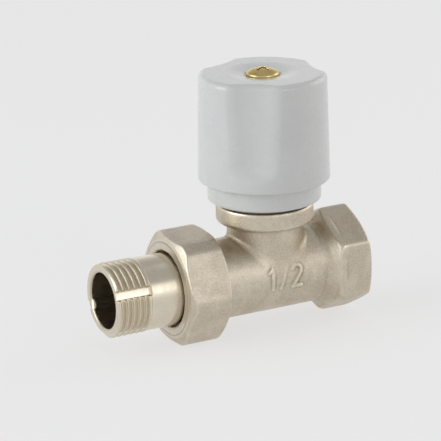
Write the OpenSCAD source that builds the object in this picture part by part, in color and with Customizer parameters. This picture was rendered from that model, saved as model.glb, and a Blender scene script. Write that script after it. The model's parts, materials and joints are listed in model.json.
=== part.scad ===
// Straight radiator valve: forged body, union tail, rising disc and handwheel.
// X runs along the pipe and out of the female mouth. Z runs up the spindle.
// The origin is on the pipe axis, where the female thread begins.
// Threads are drawn as plain cylinders: crest radius outside, root radius in the pipe mouth.

/* [Layout] */
// Distance from the start of the female thread to the spindle axis
spindle_offset = 26.4; // [26:0.1:27]
// Distance from the spindle axis to the body's union face
union_face_offset = 25.7; // [25.4:0.1:26.4]
// Angle of the union nut's corners, measured from level
nut_angle = 4; // [0:1:59]
// Angle of the first finger flute round the spindle
flute_angle = 232; // [0:1:359]

/* [Body] */
// Radius of the round barrel
barrel_r = 11.35; // [11:0.05:11.6]
// Radius of the neck under the collar
neck_r = 10.8; // [10.6:0.05:11.1]
// Radius of the collar that carries the bonnet
collar_r = 13.8; // [13.4:0.05:14]
// Height of the collar's underside above the pipe axis
collar_bottom = 15.4; // [15:0.1:16]
// Height of the collar's top face above the pipe axis
collar_top = 20.8; // [20.6:0.1:21]
// Radius of the water ways on the pipe side
inlet_r = 7.2; // [7:0.05:7.3]
// Radius of the water way on the union side
outlet_r = 8; // [7.6:0.05:8.2]
// Radius of the hole through the seat
seat_r = 5; // [4.8:0.05:5.2]

/* [Pipe mouth] */
// Width across the flats of the body's hexagon
body_hex_af = 27; // [26.8:0.1:27.4]
// Root radius of the half-inch female thread
pipe_root_r = 9.316; // [9.3:0.001:9.4]
// Length of the female thread
pipe_thread_length = 11; // [10:0.1:11.2]
// Depth of the chamfer at the mouth
mouth_chamfer = 1; // [0.8:0.1:1]

/* [Union] */
// Width across the flats of the union nut
nut_hex_af = 30; // [29.8:0.1:30.4]
// Radius to which the nut's corners are turned down
nut_corner_r = 16.45; // [16.3:0.05:16.8]
// Length of the union nut
nut_length = 12.7; // [12.5:0.1:13]
// Thickness of the nut's front wall
nut_wall = 2.4; // [2.2:0.1:2.6]
// Radius of the union thread on the body, at its pitch line
union_thread_r = 12.6; // [12.5:0.05:12.7]
// Thickness of the flat gasket in the union
union_gasket_t = 1.5; // [1:0.1:1.5]

/* [Tailpiece] */
// Length of the tail from the nut's front face to its end
tail_length = 19.7; // [18:0.1:24]
// Crest radius of the half-inch male thread
pipe_crest_r = 10.478; // [10.45:0.001:10.5]
// Length of the male thread
tail_thread_length = 10.3; // [9:0.1:10.5]
// Radius of the plain part of the tail
tail_r = 10.32; // [10.2:0.01:10.32]
// Radius of the tail's bore
tail_bore_r = 7.87; // [7.5:0.01:8]
// Width of each key groove at the thread's crests
key_w = 3.1; // [2.5:0.1:3.5]

/* [Headwork] */
// Width across the flats of the bonnet
bonnet_hex_af = 22; // [21:0.5:22]
// Height of the bonnet's hexagon
bonnet_hex_h = 6; // [5.5:0.1:6]
// Radius of the bonnet's thread in the body, at its pitch line
bonnet_thread_r = 8.8; // [8.6:0.05:8.9]
// Width across the flats of the gland nut
gland_hex_af = 13; // [12:0.5:13]
// Radius of the plain stem
stem_r = 3.6; // [3.5:0.05:3.65]
// Radius of the spindle's lifting thread
lift_thread_r = 5; // [4.9:0.05:5.1]
// Height of the spindle's top end above the pipe axis
spindle_top = 50; // [49:0.1:50]
// Number of teeth on the spindle's spline
spline_teeth = 18; // [12:1:20]

/* [Disc] */
// Radius of the disc holder
holder_r = 7.5; // [7.2:0.05:7.6]
// Thickness of the rubber disc
disc_t = 3; // [2.8:0.1:3.2]
// Radius of the disc screw's shank
disc_screw_r = 1.93; // [1.8:0.01:1.95]

/* [Handwheel] */
// Height of the handwheel's flat top above the pipe axis
wheel_top = 58.1; // [57.8:0.1:58.4]
// Height of the grip's lower edge above the pipe axis
grip_bottom = 27.6; // [27:0.1:28]
// Height of the skirt's mouth above the pipe axis
skirt_bottom = 21.8; // [21.6:0.1:22]
// Radius of the grip at its lower edge
grip_r = 18.6; // [18.4:0.05:18.8]
// Radius of the grip at its top
grip_top_r = 18; // [17.8:0.05:18.2]
// Radius of the skirt
skirt_r = 16.05; // [15.9:0.05:16.2]
// Number of finger flutes
flute_count = 3; // [3:1:4]
// Radius of the finger flutes
flute_r = 23.5; // [23:0.1:24]
// Number of ribs between the hub and the wall
rib_count = 6; // [3:1:9]

/* [Hidden] */
// Smoothness of round shapes
$fn = 96;
// How far a cutting solid runs past the face it opens
past = 5;
// Gap of a turning or sliding fit
running = 0.05;
// Gap of two parts that are screwed or set together
snug = 0.02;
// Ratio of a hexagon's corner radius to its width across the flats
hex_ratio = 1 / sqrt(3);

// Stations along the pipe axis
spindle_x = -spindle_offset;
union_face_x = spindle_x - union_face_offset;
gasket_x = union_face_x - union_gasket_t;
tail_flange_t = 2;
flange_x = gasket_x - tail_flange_t;
nut_front_x = flange_x - nut_wall;
nut_back_x = nut_front_x + nut_length;
tail_end_x = nut_front_x - tail_length;
thread_end_x = tail_end_x + tail_thread_length;
hex_start_x = spindle_x + 16.5;
inlet_end_x = spindle_x + 11.2;
outlet_end_x = spindle_x - 11.8;

// Heights on the spindle axis
web_half = 1.5;
seat_h = 3;
chamber_r = bonnet_thread_r - 0.7;
chamber_top = collar_top - 9.4;
holder_plate_z = seat_h + disc_t;
holder_plate_t = 2;
shank_top = holder_plate_z + holder_plate_t + 2;
shank_r = 3.6;
spindle_bottom = shank_top + 0.2;
pin_r = 2.4;
pin_length = 6;
clip_z = shank_top + 3;
clip_t = 0.8;
clip_groove_r = 1.9;
lift = 4.5;
bonnet_bottom = holder_plate_z + holder_plate_t + lift + 0.4;
bonnet_gasket_t = 1;
hex_z = collar_top + bonnet_gasket_t;
stem_shoulder_z = collar_top - 0.8;
back_seat_z = stem_shoulder_z + lift + 0.1;
box_floor_z = back_seat_z + 1.8;
box_top_z = hex_z + bonnet_hex_h + 5.8;
box_r = 5.6;
box_wall = 2;
washer_t = 0.8;
ring_t = 1.5;
follower_z = box_floor_z + washer_t + 2 * ring_t;
gland_foot_z = follower_z + washer_t;
gland_hex_h = 4;
gland_top_z = box_top_z + gland_hex_h;
o_ring_z = box_top_z + 2.3;
o_ring_section_r = 0.72;
spline_z = spindle_top - 10.2;
spline_root_r = 3.1;
spline_tip_r = stem_r - 0.05;
screw_hole_r = 1.77;
screw_hole_bottom = spindle_top - 11;

// Handwheel
skirt_hollow_r = 13.9;
hollow_top_r = 13.4;
top_edge_r = 1.5;
wheel_dish_depth = 1.1;
wheel_dish_r = 9.2;
screw_seat_z = wheel_top - wheel_dish_depth;
hollow_top_z = screw_seat_z - 3.5;
hub_r = 6.4;
hub_bottom = spindle_top - 9.5;
rib_t = 1.4;
rib_bottom = hub_bottom + 3.5;
flute_depth = 2.3;
flute_bottom = 31.6;
flute_end_r = 5;
flute_tilt = 3;
screw_head_r = 4.68;
screw_rim_h = 0.9;
screw_dome_h = 1.4;

// Turns a profile about the pipe axis: its first coordinate is a radius and its second is X.
module about_pipe() {
    rotate([0, 90, 0]) rotate_extrude() children();
}

// Turns a profile about the spindle axis: its first coordinate is a radius and its second is Z.
module about_spindle() {
    translate([spindle_x, 0, 0]) rotate_extrude() children();
}

// A straight round bar along X from one station to another.
module bar_x(r, from_x, to_x) {
    translate([from_x, 0, 0]) rotate([0, 90, 0]) cylinder(r = r, h = to_x - from_x);
}

// A straight round bar on the spindle axis between two heights.
module bar_z(r, from_z, to_z) {
    translate([spindle_x, 0, from_z]) cylinder(r = r, h = to_z - from_z);
}

// A ring on the spindle axis.
module ring_z(inner_r, outer_r, from_z, to_z) {
    about_spindle()
        translate([inner_r, from_z])
            square([outer_r - inner_r, to_z - from_z]);
}

// A hexagonal bar along X with a corner pointing up.
module hex_x(af, from_x, to_x) {
    translate([from_x, 0, 0])
        rotate([0, 90, 0])
            cylinder(r = af * hex_ratio, h = to_x - from_x, $fn = 6);
}

// A hexagonal bar on the spindle axis.
module hex_z(af, from_z, to_z) {
    translate([spindle_x, 0, from_z])
        cylinder(r = af * hex_ratio, h = to_z - from_z, $fn = 6);
}

// The half space above the given height, as wide as the body.
module above(z) {
    translate([spindle_x - 30, -30, z]) cube([60, 60, 40]);
}

// Profile of the barrel from the union face to the hexagon's shoulder.
module barrel_profile() {
    thread_back_x = union_face_x + 5.9;
    shoulder_h = 2.15;
    polygon([
        [0, union_face_x],
        [union_thread_r - 0.6, union_face_x],
        [union_thread_r, union_face_x + 0.6],
        [union_thread_r, thread_back_x],
        [barrel_r, thread_back_x + union_thread_r - barrel_r],
        [barrel_r, hex_start_x - shoulder_h],
        [barrel_r + shoulder_h, hex_start_x],
        [barrel_r + shoulder_h, hex_start_x + 1],
        [0, hex_start_x + 1]
    ]);
}

// Turned outline that rounds the hexagon's forged back corners and chamfers its mouth.
module body_hex_profile() {
    corner_r = body_hex_af * hex_ratio;
    mouth_r = 13.3;
    round_r = 2.1;
    difference() {
        polygon([
            [0, hex_start_x - 0.2],
            [corner_r + 1, hex_start_x - 0.2],
            [corner_r + 1, 0],
            [corner_r, 0],
            [mouth_r, mouth_chamfer],
            [0, mouth_chamfer]
        ]);
        translate([corner_r - round_r, hex_start_x - 0.2])
            difference() {
                square([round_r + 2, round_r]);
                translate([0, round_r]) circle(r = round_r);
            }
    }
}

// Neck and collar, turned about the spindle axis, with forged edges.
module boss_profile() {
    edge = 1.3;
    top_edge = 0.6;
    fillet = 1.2;
    square([neck_r, collar_top - edge]);
    translate([0, collar_bottom]) square([collar_r - edge, collar_top - collar_bottom]);
    translate([0, collar_bottom + edge])
        square([collar_r, collar_top - collar_bottom - edge - top_edge]);
    translate([0, collar_bottom + 1]) square([collar_r - top_edge, collar_top - collar_bottom - 1]);
    translate([collar_r - edge, collar_bottom + edge]) circle(r = edge);
    translate([collar_r - top_edge, collar_top - top_edge]) circle(r = top_edge);
    difference() {
        translate([neck_r - 0.5, collar_bottom - fillet]) square([fillet + 0.5, fillet + 0.5]);
        translate([neck_r + fillet, collar_bottom - fillet]) circle(r = fillet);
    }
}

// Water ways, the seat hole and the bores for the bonnet and the pipe.
module body_hollows() {
    about_pipe() {
        polygon([
            [0, -pipe_thread_length - 1.6],
            [inlet_r, -pipe_thread_length - 1.6],
            [pipe_root_r, -pipe_thread_length],
            [pipe_root_r, 0],
            [pipe_root_r + mouth_chamfer + past, mouth_chamfer + past],
            [0, mouth_chamfer + past]
        ]);
    }
    bar_x(inlet_r, inlet_end_x, -pipe_thread_length);
    difference() {
        intersection() {
            bar_x(inlet_r, spindle_x - past - inlet_r, inlet_end_x + 1);
            union() {
                bar_z(inlet_r, -inlet_r - past, web_half);
                translate([spindle_x, -inlet_r, -inlet_r - past])
                    cube([inlet_end_x + 1 - spindle_x, 2 * inlet_r, inlet_r + past]);
            }
        }
        above(-web_half);
    }
    bar_x(outlet_r, union_face_x - past, outlet_end_x);
    intersection() {
        bar_x(outlet_r, outlet_end_x - 1, spindle_x);
        above(web_half);
    }
    bar_z(seat_r, -web_half - 1, web_half + 1);
    difference() {
        bar_z(chamber_r, web_half, chamber_top + 1);
        seat_lip();
    }
    bar_z(bonnet_thread_r, chamber_top, collar_top + past);
    about_spindle()
        polygon([
            [0, collar_top - 0.5],
            [bonnet_thread_r, collar_top - 0.5],
            [bonnet_thread_r + 1, collar_top + 0.5],
            [0, collar_top + 0.5]
        ]);
}

// Raised lip that the rubber disc closes on.
module seat_lip() {
    about_spindle()
        polygon([
            [seat_r, web_half - 1],
            [seat_r + 1.6, web_half - 1],
            [seat_r + 1.6, web_half],
            [seat_r + 0.9, seat_h],
            [seat_r, seat_h]
        ]);
}

// Forged body: barrel, pipe mouth with its hexagon, neck and collar, and the ways inside.
module valve_body() {
    color([0.74, 0.68, 0.57])
    difference() {
        union() {
            about_pipe() barrel_profile();
            intersection() {
                hex_x(body_hex_af, hex_start_x - 1, mouth_chamfer);
                about_pipe() body_hex_profile();
            }
            about_spindle() boss_profile();
        }
        body_hollows();
    }
}

// Nut with turned-down corners, a threaded bore and a front wall that pulls on the tail.
module union_nut() {
    face_r = 14;
    back_r = 15;
    chamfer_front = 1.25;
    chamfer_back = 0.85;
    hole_r = 10.8;
    bore_r = union_thread_r + running;
    color([0.74, 0.68, 0.57])
    difference() {
        intersection() {
            rotate([nut_angle - 30, 0, 0]) hex_x(nut_hex_af, nut_front_x, nut_back_x);
            about_pipe()
                polygon([
                    [0, nut_front_x],
                    [face_r, nut_front_x],
                    [nut_corner_r, nut_front_x + chamfer_front],
                    [nut_corner_r, nut_back_x - chamfer_back],
                    [back_r, nut_back_x],
                    [0, nut_back_x]
                ]);
        }
        bar_x(hole_r, nut_front_x - past, nut_back_x);
        bar_x(bore_r, flange_x, nut_back_x + past);
        about_pipe()
            polygon([
                [0, nut_back_x - 0.8],
                [bore_r, nut_back_x - 0.8],
                [bore_r + 1.6, nut_back_x + 0.8],
                [0, nut_back_x + 0.8]
            ]);
    }
}

// Cross-section of a key groove: its sides close in towards the floor.
module key_groove_profile() {
    groove_depth = 1.2;
    floor_w = key_w - 0.8;
    floor_r = pipe_crest_r - groove_depth;
    polygon([
        [floor_r, -floor_w / 2],
        [pipe_crest_r, -key_w / 2],
        [pipe_crest_r + 1, -key_w / 2],
        [pipe_crest_r + 1, key_w / 2],
        [pipe_crest_r, key_w / 2],
        [floor_r, floor_w / 2]
    ]);
}

// Tail tube with a flange, a male thread and two pressed-in key lugs.
module tailpiece() {
    flange_r = 12.3;
    end_chamfer = 0.25;
    lug_r = 1.9;
    lug_centre = tail_bore_r + 1.03;
    lug_length = tail_thread_length;
    key_angle = 156.6;
    color([0.78, 0.75, 0.69])
    union() {
        difference() {
            about_pipe()
                polygon([
                    [0, tail_end_x],
                    [pipe_crest_r - end_chamfer, tail_end_x],
                    [pipe_crest_r, tail_end_x + end_chamfer],
                    [pipe_crest_r, thread_end_x],
                    [tail_r, thread_end_x + 0.2],
                    [tail_r, flange_x],
                    [flange_r, flange_x],
                    [flange_r, gasket_x],
                    [0, gasket_x]
                ]);
            bar_x(tail_bore_r, tail_end_x - past, gasket_x + past);
            for (side = [0, 180])
                rotate([key_angle + side, 0, 0])
                    translate([tail_end_x - 1, 0, 0])
                        rotate([90, 0, 90])
                            linear_extrude(tail_thread_length + 1)
                                key_groove_profile();
        }
        for (side = [0, 180])
            intersection() {
                rotate([key_angle + side, 0, 0])
                    translate([0, lug_centre, 0])
                        bar_x(lug_r, tail_end_x + 0.4, tail_end_x + lug_length);
                bar_x(tail_bore_r + 0.3, tail_end_x, thread_end_x + 1);
            }
    }
}

// Flat gasket between the tail's flange and the body.
module union_gasket() {
    inner_r = outlet_r + 0.4;
    outer_r = union_thread_r - 0.8;
    color([0.25, 0.22, 0.2])
    about_pipe()
        translate([inner_r, gasket_x])
            square([outer_r - inner_r, union_gasket_t]);
}

// Bonnet: thread below, hexagon, and the stuffing box above.
module bonnet() {
    hex_r = bonnet_hex_af * hex_ratio;
    bevel = 0.9;
    hex_top = hex_z + bonnet_hex_h;
    color([0.72, 0.6, 0.36])
    difference() {
        union() {
            about_spindle()
                polygon([
                    [0, bonnet_bottom],
                    [bonnet_thread_r - snug - 0.6, bonnet_bottom],
                    [bonnet_thread_r - snug, bonnet_bottom + 0.6],
                    [bonnet_thread_r - snug, hex_z + 1],
                    [0, hex_z + 1]
                ]);
            intersection() {
                hex_z(bonnet_hex_af, hex_z, hex_top);
                about_spindle()
                    polygon([
                        [0, hex_z],
                        [hex_r - bevel, hex_z],
                        [hex_r, hex_z + bevel / 2],
                        [hex_r, hex_top - bevel / 2],
                        [hex_r - bevel - 0.6, hex_top],
                        [0, hex_top]
                    ]);
            }
            bar_z(box_r + box_wall, hex_top - 1, box_top_z);
        }
        bar_z(lift_thread_r + running, bonnet_bottom - past, back_seat_z);
        bar_z(stem_r + running, back_seat_z - 1, box_floor_z + 1);
        bar_z(box_r, box_floor_z, box_top_z + past);
    }
}

// Flat ring that seals the bonnet on the collar.
module bonnet_gasket() {
    color([0.85, 0.85, 0.82])
    ring_z(bonnet_thread_r + 0.3, collar_r - 1.9, collar_top, hex_z);
}

// Thin metal ring that the packing rests on.
module packing_washer() {
    color([0.75, 0.65, 0.4])
    ring_z(stem_r + 0.1, box_r - 0.1, box_floor_z, box_floor_z + washer_t);
}

// Lower soft ring round the stem.
module packing_ring_lower() {
    packing_z = box_floor_z + washer_t;
    color([0.93, 0.93, 0.9])
    ring_z(stem_r + running, box_r - snug, packing_z, packing_z + ring_t);
}

// Upper soft ring round the stem.
module packing_ring_upper() {
    packing_z = box_floor_z + washer_t + ring_t;
    color([0.93, 0.93, 0.9])
    ring_z(stem_r + running, box_r - snug, packing_z, packing_z + ring_t);
}

// Thin metal ring between the packing and the gland nut.
module packing_follower() {
    color([0.75, 0.65, 0.4])
    ring_z(stem_r + 0.1, box_r - 0.1, follower_z, follower_z + washer_t);
}

// Gland nut that screws into the stuffing box and holds the upper seal.
module gland_nut() {
    hex_r = gland_hex_af * hex_ratio;
    bevel = 0.8;
    color([0.72, 0.6, 0.36])
    difference() {
        union() {
            bar_z(box_r - snug, gland_foot_z, box_top_z + 1);
            intersection() {
                hex_z(gland_hex_af, box_top_z, gland_top_z);
                about_spindle()
                    polygon([
                        [0, box_top_z],
                        [hex_r + 1, box_top_z],
                        [hex_r + 1, gland_top_z - bevel],
                        [hex_r, gland_top_z - bevel],
                        [hex_r - 1.5, gland_top_z],
                        [0, gland_top_z]
                    ]);
            }
        }
        bar_z(stem_r + 0.1, gland_foot_z - past, gland_top_z + past);
        ring_z(stem_r - 1, 5.1, o_ring_z - 0.9, o_ring_z + 0.9);
    }
}

// Rubber ring in the gland nut's groove.
module gland_o_ring() {
    color([0.1, 0.1, 0.1])
    about_spindle()
        translate([stem_r + running + o_ring_section_r, o_ring_z]) circle(r = o_ring_section_r);
}

// Outline of the spline: teeth with flat tips and flat roots, grown by a gap.
function spline_outline(gap) = [
    for (tooth = [0 : spline_teeth - 1])
        for (corner = [[0, 0], [0.32, 0], [0.5, 1], [0.82, 1]])
            let (angle = (tooth + corner[0]) * 360 / spline_teeth)
            let (r = gap + (corner[1] == 0 ? spline_root_r : spline_tip_r))
            [r * cos(angle), r * sin(angle)]
];

// Spindle: lifting thread, plain stem and splined top with a tapped hole.
module spindle() {
    color([0.8, 0.68, 0.4])
    difference() {
        union() {
            about_spindle()
                polygon([
                    [0, spindle_bottom],
                    [lift_thread_r - 0.6, spindle_bottom],
                    [lift_thread_r, spindle_bottom + 0.6],
                    [lift_thread_r, stem_shoulder_z - 0.6],
                    [lift_thread_r - 0.6, stem_shoulder_z],
                    [stem_r, stem_shoulder_z],
                    [stem_r, spline_z],
                    [0, spline_z]
                ]);
            intersection() {
                translate([spindle_x, 0, spline_z - 1])
                    linear_extrude(spindle_top - spline_z + 2) polygon(spline_outline(0));
                about_spindle()
                    polygon([
                        [0, spline_z - 0.5],
                        [spline_tip_r + 1, spline_z - 0.5],
                        [spline_tip_r + 1, spindle_top - 1.65],
                        [spline_tip_r - 0.65, spindle_top],
                        [0, spindle_top]
                    ]);
            }
        }
        bar_z(pin_r + 0.1, spindle_bottom - past, shank_top + pin_length + 0.6);
        ring_z(pin_r - 1, 3, clip_z - 0.35, clip_z + clip_t + 0.3);
        bar_z(screw_hole_r, screw_hole_bottom, spindle_top + past);
    }
}

// Holder of the rubber disc, with the pin on which the spindle turns.
module disc_holder() {
    rim_inner_r = holder_r - 0.55;
    rim_bottom = seat_h + 1.2;
    color([0.8, 0.68, 0.4])
    difference() {
        about_spindle()
            polygon([
                [0, holder_plate_z],
                [rim_inner_r, holder_plate_z],
                [rim_inner_r, rim_bottom],
                [holder_r, rim_bottom],
                [holder_r, holder_plate_z + holder_plate_t - 0.4],
                [holder_r - 0.4, holder_plate_z + holder_plate_t],
                [shank_r, holder_plate_z + holder_plate_t],
                [shank_r, shank_top],
                [pin_r, shank_top],
                [pin_r, clip_z],
                [clip_groove_r, clip_z],
                [clip_groove_r, clip_z + clip_t],
                [pin_r, clip_z + clip_t],
                [pin_r, shank_top + pin_length - 0.5],
                [pin_r - 0.5, shank_top + pin_length],
                [0, shank_top + pin_length]
            ]);
        bar_z(disc_screw_r + snug, holder_plate_z - past, holder_plate_z + 3.2);
    }
}

// Rubber disc that closes on the seat.
module valve_disc() {
    color([0.08, 0.08, 0.08])
    ring_z(disc_screw_r + 0.1, holder_r - 0.6, seat_h, holder_plate_z);
}

// Metal washer under the rubber disc.
module disc_washer() {
    color([0.8, 0.68, 0.4])
    ring_z(disc_screw_r + 0.1, seat_r - 0.8, seat_h - washer_t, seat_h);
}

// Slotted screw that clamps the rubber disc and its washer to the holder.
module disc_screw() {
    head_r = 3.3;
    head_h = 1.8;
    head_top = seat_h - washer_t;
    color([0.82, 0.7, 0.42])
    difference() {
        about_spindle()
            polygon([
                [0, head_top - head_h],
                [head_r - 0.5, head_top - head_h],
                [head_r, head_top - head_h + 0.5],
                [head_r, head_top],
                [disc_screw_r, head_top],
                [disc_screw_r, holder_plate_z + 2.6],
                [disc_screw_r - 0.4, holder_plate_z + 3],
                [0, holder_plate_z + 3]
            ]);
        translate([spindle_x - head_r - 1, -0.45, head_top - head_h - 1])
            cube([2 * head_r + 2, 0.9, 1.9]);
    }
}

// Open ring that keeps the holder's pin in the spindle.
module jumper_clip() {
    color([0.55, 0.56, 0.58])
    difference() {
        ring_z(clip_groove_r + running, 2.85, clip_z + running, clip_z + clip_t - running);
        translate([spindle_x, -0.8, clip_z - 1]) cube([4, 1.6, 3]);
    }
}

// Outer form of the handwheel without its flutes: skirt, grip and rounded edges.
module wheel_outline() {
    low_edge = 0.5;
    mouth_edge = 0.6;
    round_z = wheel_top - top_edge_r;
    translate([0, skirt_bottom + mouth_edge])
        square([skirt_r, grip_bottom - skirt_bottom]);
    translate([0, skirt_bottom]) square([skirt_r - mouth_edge, 3]);
    translate([skirt_r - mouth_edge, skirt_bottom + mouth_edge]) circle(r = mouth_edge);
    polygon([
        [0, grip_bottom],
        [grip_r - low_edge, grip_bottom],
        [grip_r, grip_bottom + low_edge],
        [grip_top_r, round_z],
        [0, round_z]
    ]);
    translate([0, round_z - 1]) square([grip_top_r - top_edge_r, top_edge_r + 1]);
    translate([grip_top_r - top_edge_r, round_z]) circle(r = top_edge_r);
}

// One finger flute: a leaning round cutter with a rounded foot and a flared top.
module flute_cutter() {
    centre = grip_top_r - flute_depth + flute_r;
    round_z = wheel_top - top_edge_r;
    translate([centre, 0, wheel_top])
        rotate([0, -flute_tilt, 0])
            translate([0, 0, -wheel_top])
                rotate_extrude($fn = 160) {
                    translate([0, flute_bottom])
                        square([flute_r - flute_end_r, wheel_top - flute_bottom + 2]);
                    translate([0, flute_bottom + flute_end_r])
                        square([flute_r, wheel_top - flute_bottom - flute_end_r + 2]);
                    translate([flute_r - flute_end_r, flute_bottom + flute_end_r])
                        circle(r = flute_end_r);
                    difference() {
                        translate([flute_r - 1, round_z]) square([top_edge_r + 1, top_edge_r + 2]);
                        translate([flute_r + top_edge_r, round_z]) circle(r = top_edge_r);
                    }
                }
}

// Moulded handwheel: fluted grip, dished top, hollow skirt, splined hub and ribs.
module handwheel() {
    dish_ball_r = (pow(wheel_dish_r, 2) + pow(wheel_dish_depth, 2)) / (2 * wheel_dish_depth);
    color([0.93, 0.94, 0.93])
    difference() {
        union() {
            difference() {
                about_spindle() wheel_outline();
                translate([spindle_x, 0, 0])
                    for (i = [0 : flute_count - 1])
                        rotate([0, 0, flute_angle + i * 360 / flute_count]) flute_cutter();
                about_spindle()
                    polygon([
                        [0, skirt_bottom - 1],
                        [skirt_hollow_r, skirt_bottom - 1],
                        [skirt_hollow_r, skirt_bottom],
                        [hollow_top_r, hollow_top_z],
                        [0, hollow_top_z]
                    ]);
            }
            bar_z(hub_r, hub_bottom, hollow_top_z + 1);
            for (i = [0 : rib_count - 1])
                translate([spindle_x, 0, 0])
                    rotate([0, 0, flute_angle + i * 360 / rib_count])
                        translate([hub_r - 1, -rib_t / 2, rib_bottom])
                            cube([hollow_top_r - hub_r + 1.4, rib_t, hollow_top_z - rib_bottom + 1]);
        }
        translate([spindle_x, 0, screw_seat_z + dish_ball_r]) sphere(r = dish_ball_r, $fn = 200);
        bar_z(screw_head_r + 0.4, screw_seat_z, wheel_top + 1);
        bar_z(2.2, hub_bottom - 1, wheel_top + 1);
        translate([spindle_x, 0, hub_bottom - 1])
            linear_extrude(spindle_top + 0.2 - hub_bottom + 1) polygon(spline_outline(running));
    }
}

// Screw with a domed head and a cross recess that holds the handwheel on the spindle.
module handle_screw() {
    shank_end = spindle_top - 7;
    ball_r = (pow(screw_head_r, 2) + pow(screw_dome_h, 2)) / (2 * screw_dome_h);
    head_top = screw_seat_z + screw_rim_h + screw_dome_h;
    recess_depth = 1.5;
    color([0.8, 0.66, 0.35])
    difference() {
        union() {
            intersection() {
                bar_z(screw_head_r, screw_seat_z, head_top + 1);
                translate([spindle_x, 0, head_top - ball_r]) sphere(r = ball_r, $fn = 120);
            }
            about_spindle()
                polygon([
                    [0, shank_end],
                    [screw_hole_r - snug - 0.4, shank_end],
                    [screw_hole_r - snug, shank_end + 0.4],
                    [screw_hole_r - snug, screw_seat_z + 0.5],
                    [0, screw_seat_z + 0.5]
                ]);
        }
        intersection() {
            for (turn = [20, 110])
                translate([spindle_x, 0, head_top])
                    rotate([0, 0, turn])
                        cube([8, 0.85, 2 * recess_depth], center = true);
            translate([spindle_x, 0, head_top - recess_depth])
                cylinder(r1 = 1.3, r2 = 2.9, h = recess_depth + 1);
        }
    }
}

valve_body();
union_nut();
tailpiece();
union_gasket();
bonnet();
bonnet_gasket();
packing_washer();
packing_ring_lower();
packing_ring_upper();
packing_follower();
gland_nut();
gland_o_ring();
spindle();
disc_holder();
valve_disc();
disc_washer();
disc_screw();
jumper_clip();
handwheel();
handle_screw();
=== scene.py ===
"""Looks of a straight radiator valve with a union tail and a white handwheel.

X runs out of the pipe mouth, Z runs up the spindle, and the origin is where the female thread
begins. Lengths in the classes are millimetres, and Blender gets metres.
"""

import json
import logging
import math
from dataclasses import dataclass
from enum import Enum
from typing import Callable, Sequence

import bpy
import numpy as np
from mathutils import Matrix, Vector


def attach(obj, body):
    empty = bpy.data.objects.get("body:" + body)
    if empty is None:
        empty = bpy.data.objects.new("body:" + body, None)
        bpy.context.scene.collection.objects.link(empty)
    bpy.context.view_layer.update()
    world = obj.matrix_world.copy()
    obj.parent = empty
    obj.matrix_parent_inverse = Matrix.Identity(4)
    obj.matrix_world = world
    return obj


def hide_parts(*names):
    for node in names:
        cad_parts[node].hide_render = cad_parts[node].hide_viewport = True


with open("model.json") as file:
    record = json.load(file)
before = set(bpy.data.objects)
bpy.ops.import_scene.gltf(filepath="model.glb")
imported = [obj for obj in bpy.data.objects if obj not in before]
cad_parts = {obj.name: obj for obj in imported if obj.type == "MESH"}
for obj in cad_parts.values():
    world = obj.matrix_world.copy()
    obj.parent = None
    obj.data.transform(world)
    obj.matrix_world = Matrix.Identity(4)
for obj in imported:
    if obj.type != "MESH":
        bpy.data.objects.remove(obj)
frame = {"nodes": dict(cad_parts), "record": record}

LOG = logging.getLogger("valve")
MM = 0.001
TAU = 2 * math.pi
SPINDLE_X = -26.4

Colour = tuple[float, float, float]
Distance = Callable[[np.ndarray], np.ndarray]


# Solids told by distance


def round_meet(a: np.ndarray, b: np.ndarray, radius: float) -> np.ndarray:
    """Distance of the overlap of two solids.

    Args:
        a: Distance of the first solid.
        b: Distance of the second solid.
        radius: Radius of the edge that the two share.

    Returns:
        Distance of the overlap, negative inside.
    """
    outside = np.hypot(np.maximum(a + radius, 0.0), np.maximum(b + radius, 0.0))
    return np.minimum(np.maximum(a, b), -radius) + outside


@dataclass(frozen=True)
class Solid:
    """A solid told by its signed distance in millimetres, negative inside.

    Attributes:
        distance: Function from rows of points to their distances.
    """

    distance: Distance

    def join(self, other: "Solid", fillet: float = 0.0) -> "Solid":
        """This solid and another, with a fillet where they meet."""
        return Solid(lambda p: -round_meet(-self.distance(p), -other.distance(p), fillet))

    def meet(self, other: "Solid", edge: float = 0.0) -> "Solid":
        """What this solid shares with another, with rounded edges."""
        return Solid(lambda p: round_meet(self.distance(p), other.distance(p), edge))

    def cut(self, other: "Solid", edge: float = 0.0) -> "Solid":
        """This solid without another, with rounded edges."""
        return Solid(lambda p: round_meet(self.distance(p), -other.distance(p), edge))


class Axis(Enum):
    """Line that a turned form is centred on."""

    PIPE = "pipe"
    SPINDLE = "spindle"

    def split(self, p: np.ndarray) -> tuple[np.ndarray, np.ndarray, np.ndarray]:
        """Radius, station and angle of each point about this axis.

        Args:
            p: Rows of points.

        Returns:
            Distance from the axis, place along it, and angle round it in radians.
        """
        if self is Axis.PIPE:
            return np.hypot(p[:, 1], p[:, 2]), p[:, 0], np.arctan2(p[:, 2], p[:, 1])
        x = p[:, 0] - SPINDLE_X
        return np.hypot(x, p[:, 1]), p[:, 2], np.arctan2(p[:, 1], x)


def bar(axis: Axis, r: float, lo: float, hi: float, edge: float = 0.0) -> Solid:
    """A round bar between two stations, with rounded rims."""

    def distance(p: np.ndarray) -> np.ndarray:
        radius, along, _ = axis.split(p)
        return round_meet(radius - r, np.maximum(lo - along, along - hi), edge)

    return Solid(distance)


def taper(axis: Axis, start: tuple[float, float], end: tuple[float, float]) -> Solid:
    """All that lies within a cone.

    Args:
        axis: Line that the cone is centred on.
        start: Station and radius at one end.
        end: Station, further along, and radius at the other end.

    Returns:
        The endless cone.
    """
    rise, run = end[1] - start[1], end[0] - start[0]
    length = math.hypot(rise, run)

    def distance(p: np.ndarray) -> np.ndarray:
        radius, along, _ = axis.split(p)
        return ((radius - start[1]) * run - (along - start[0]) * rise) / length

    return Solid(distance)


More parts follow.
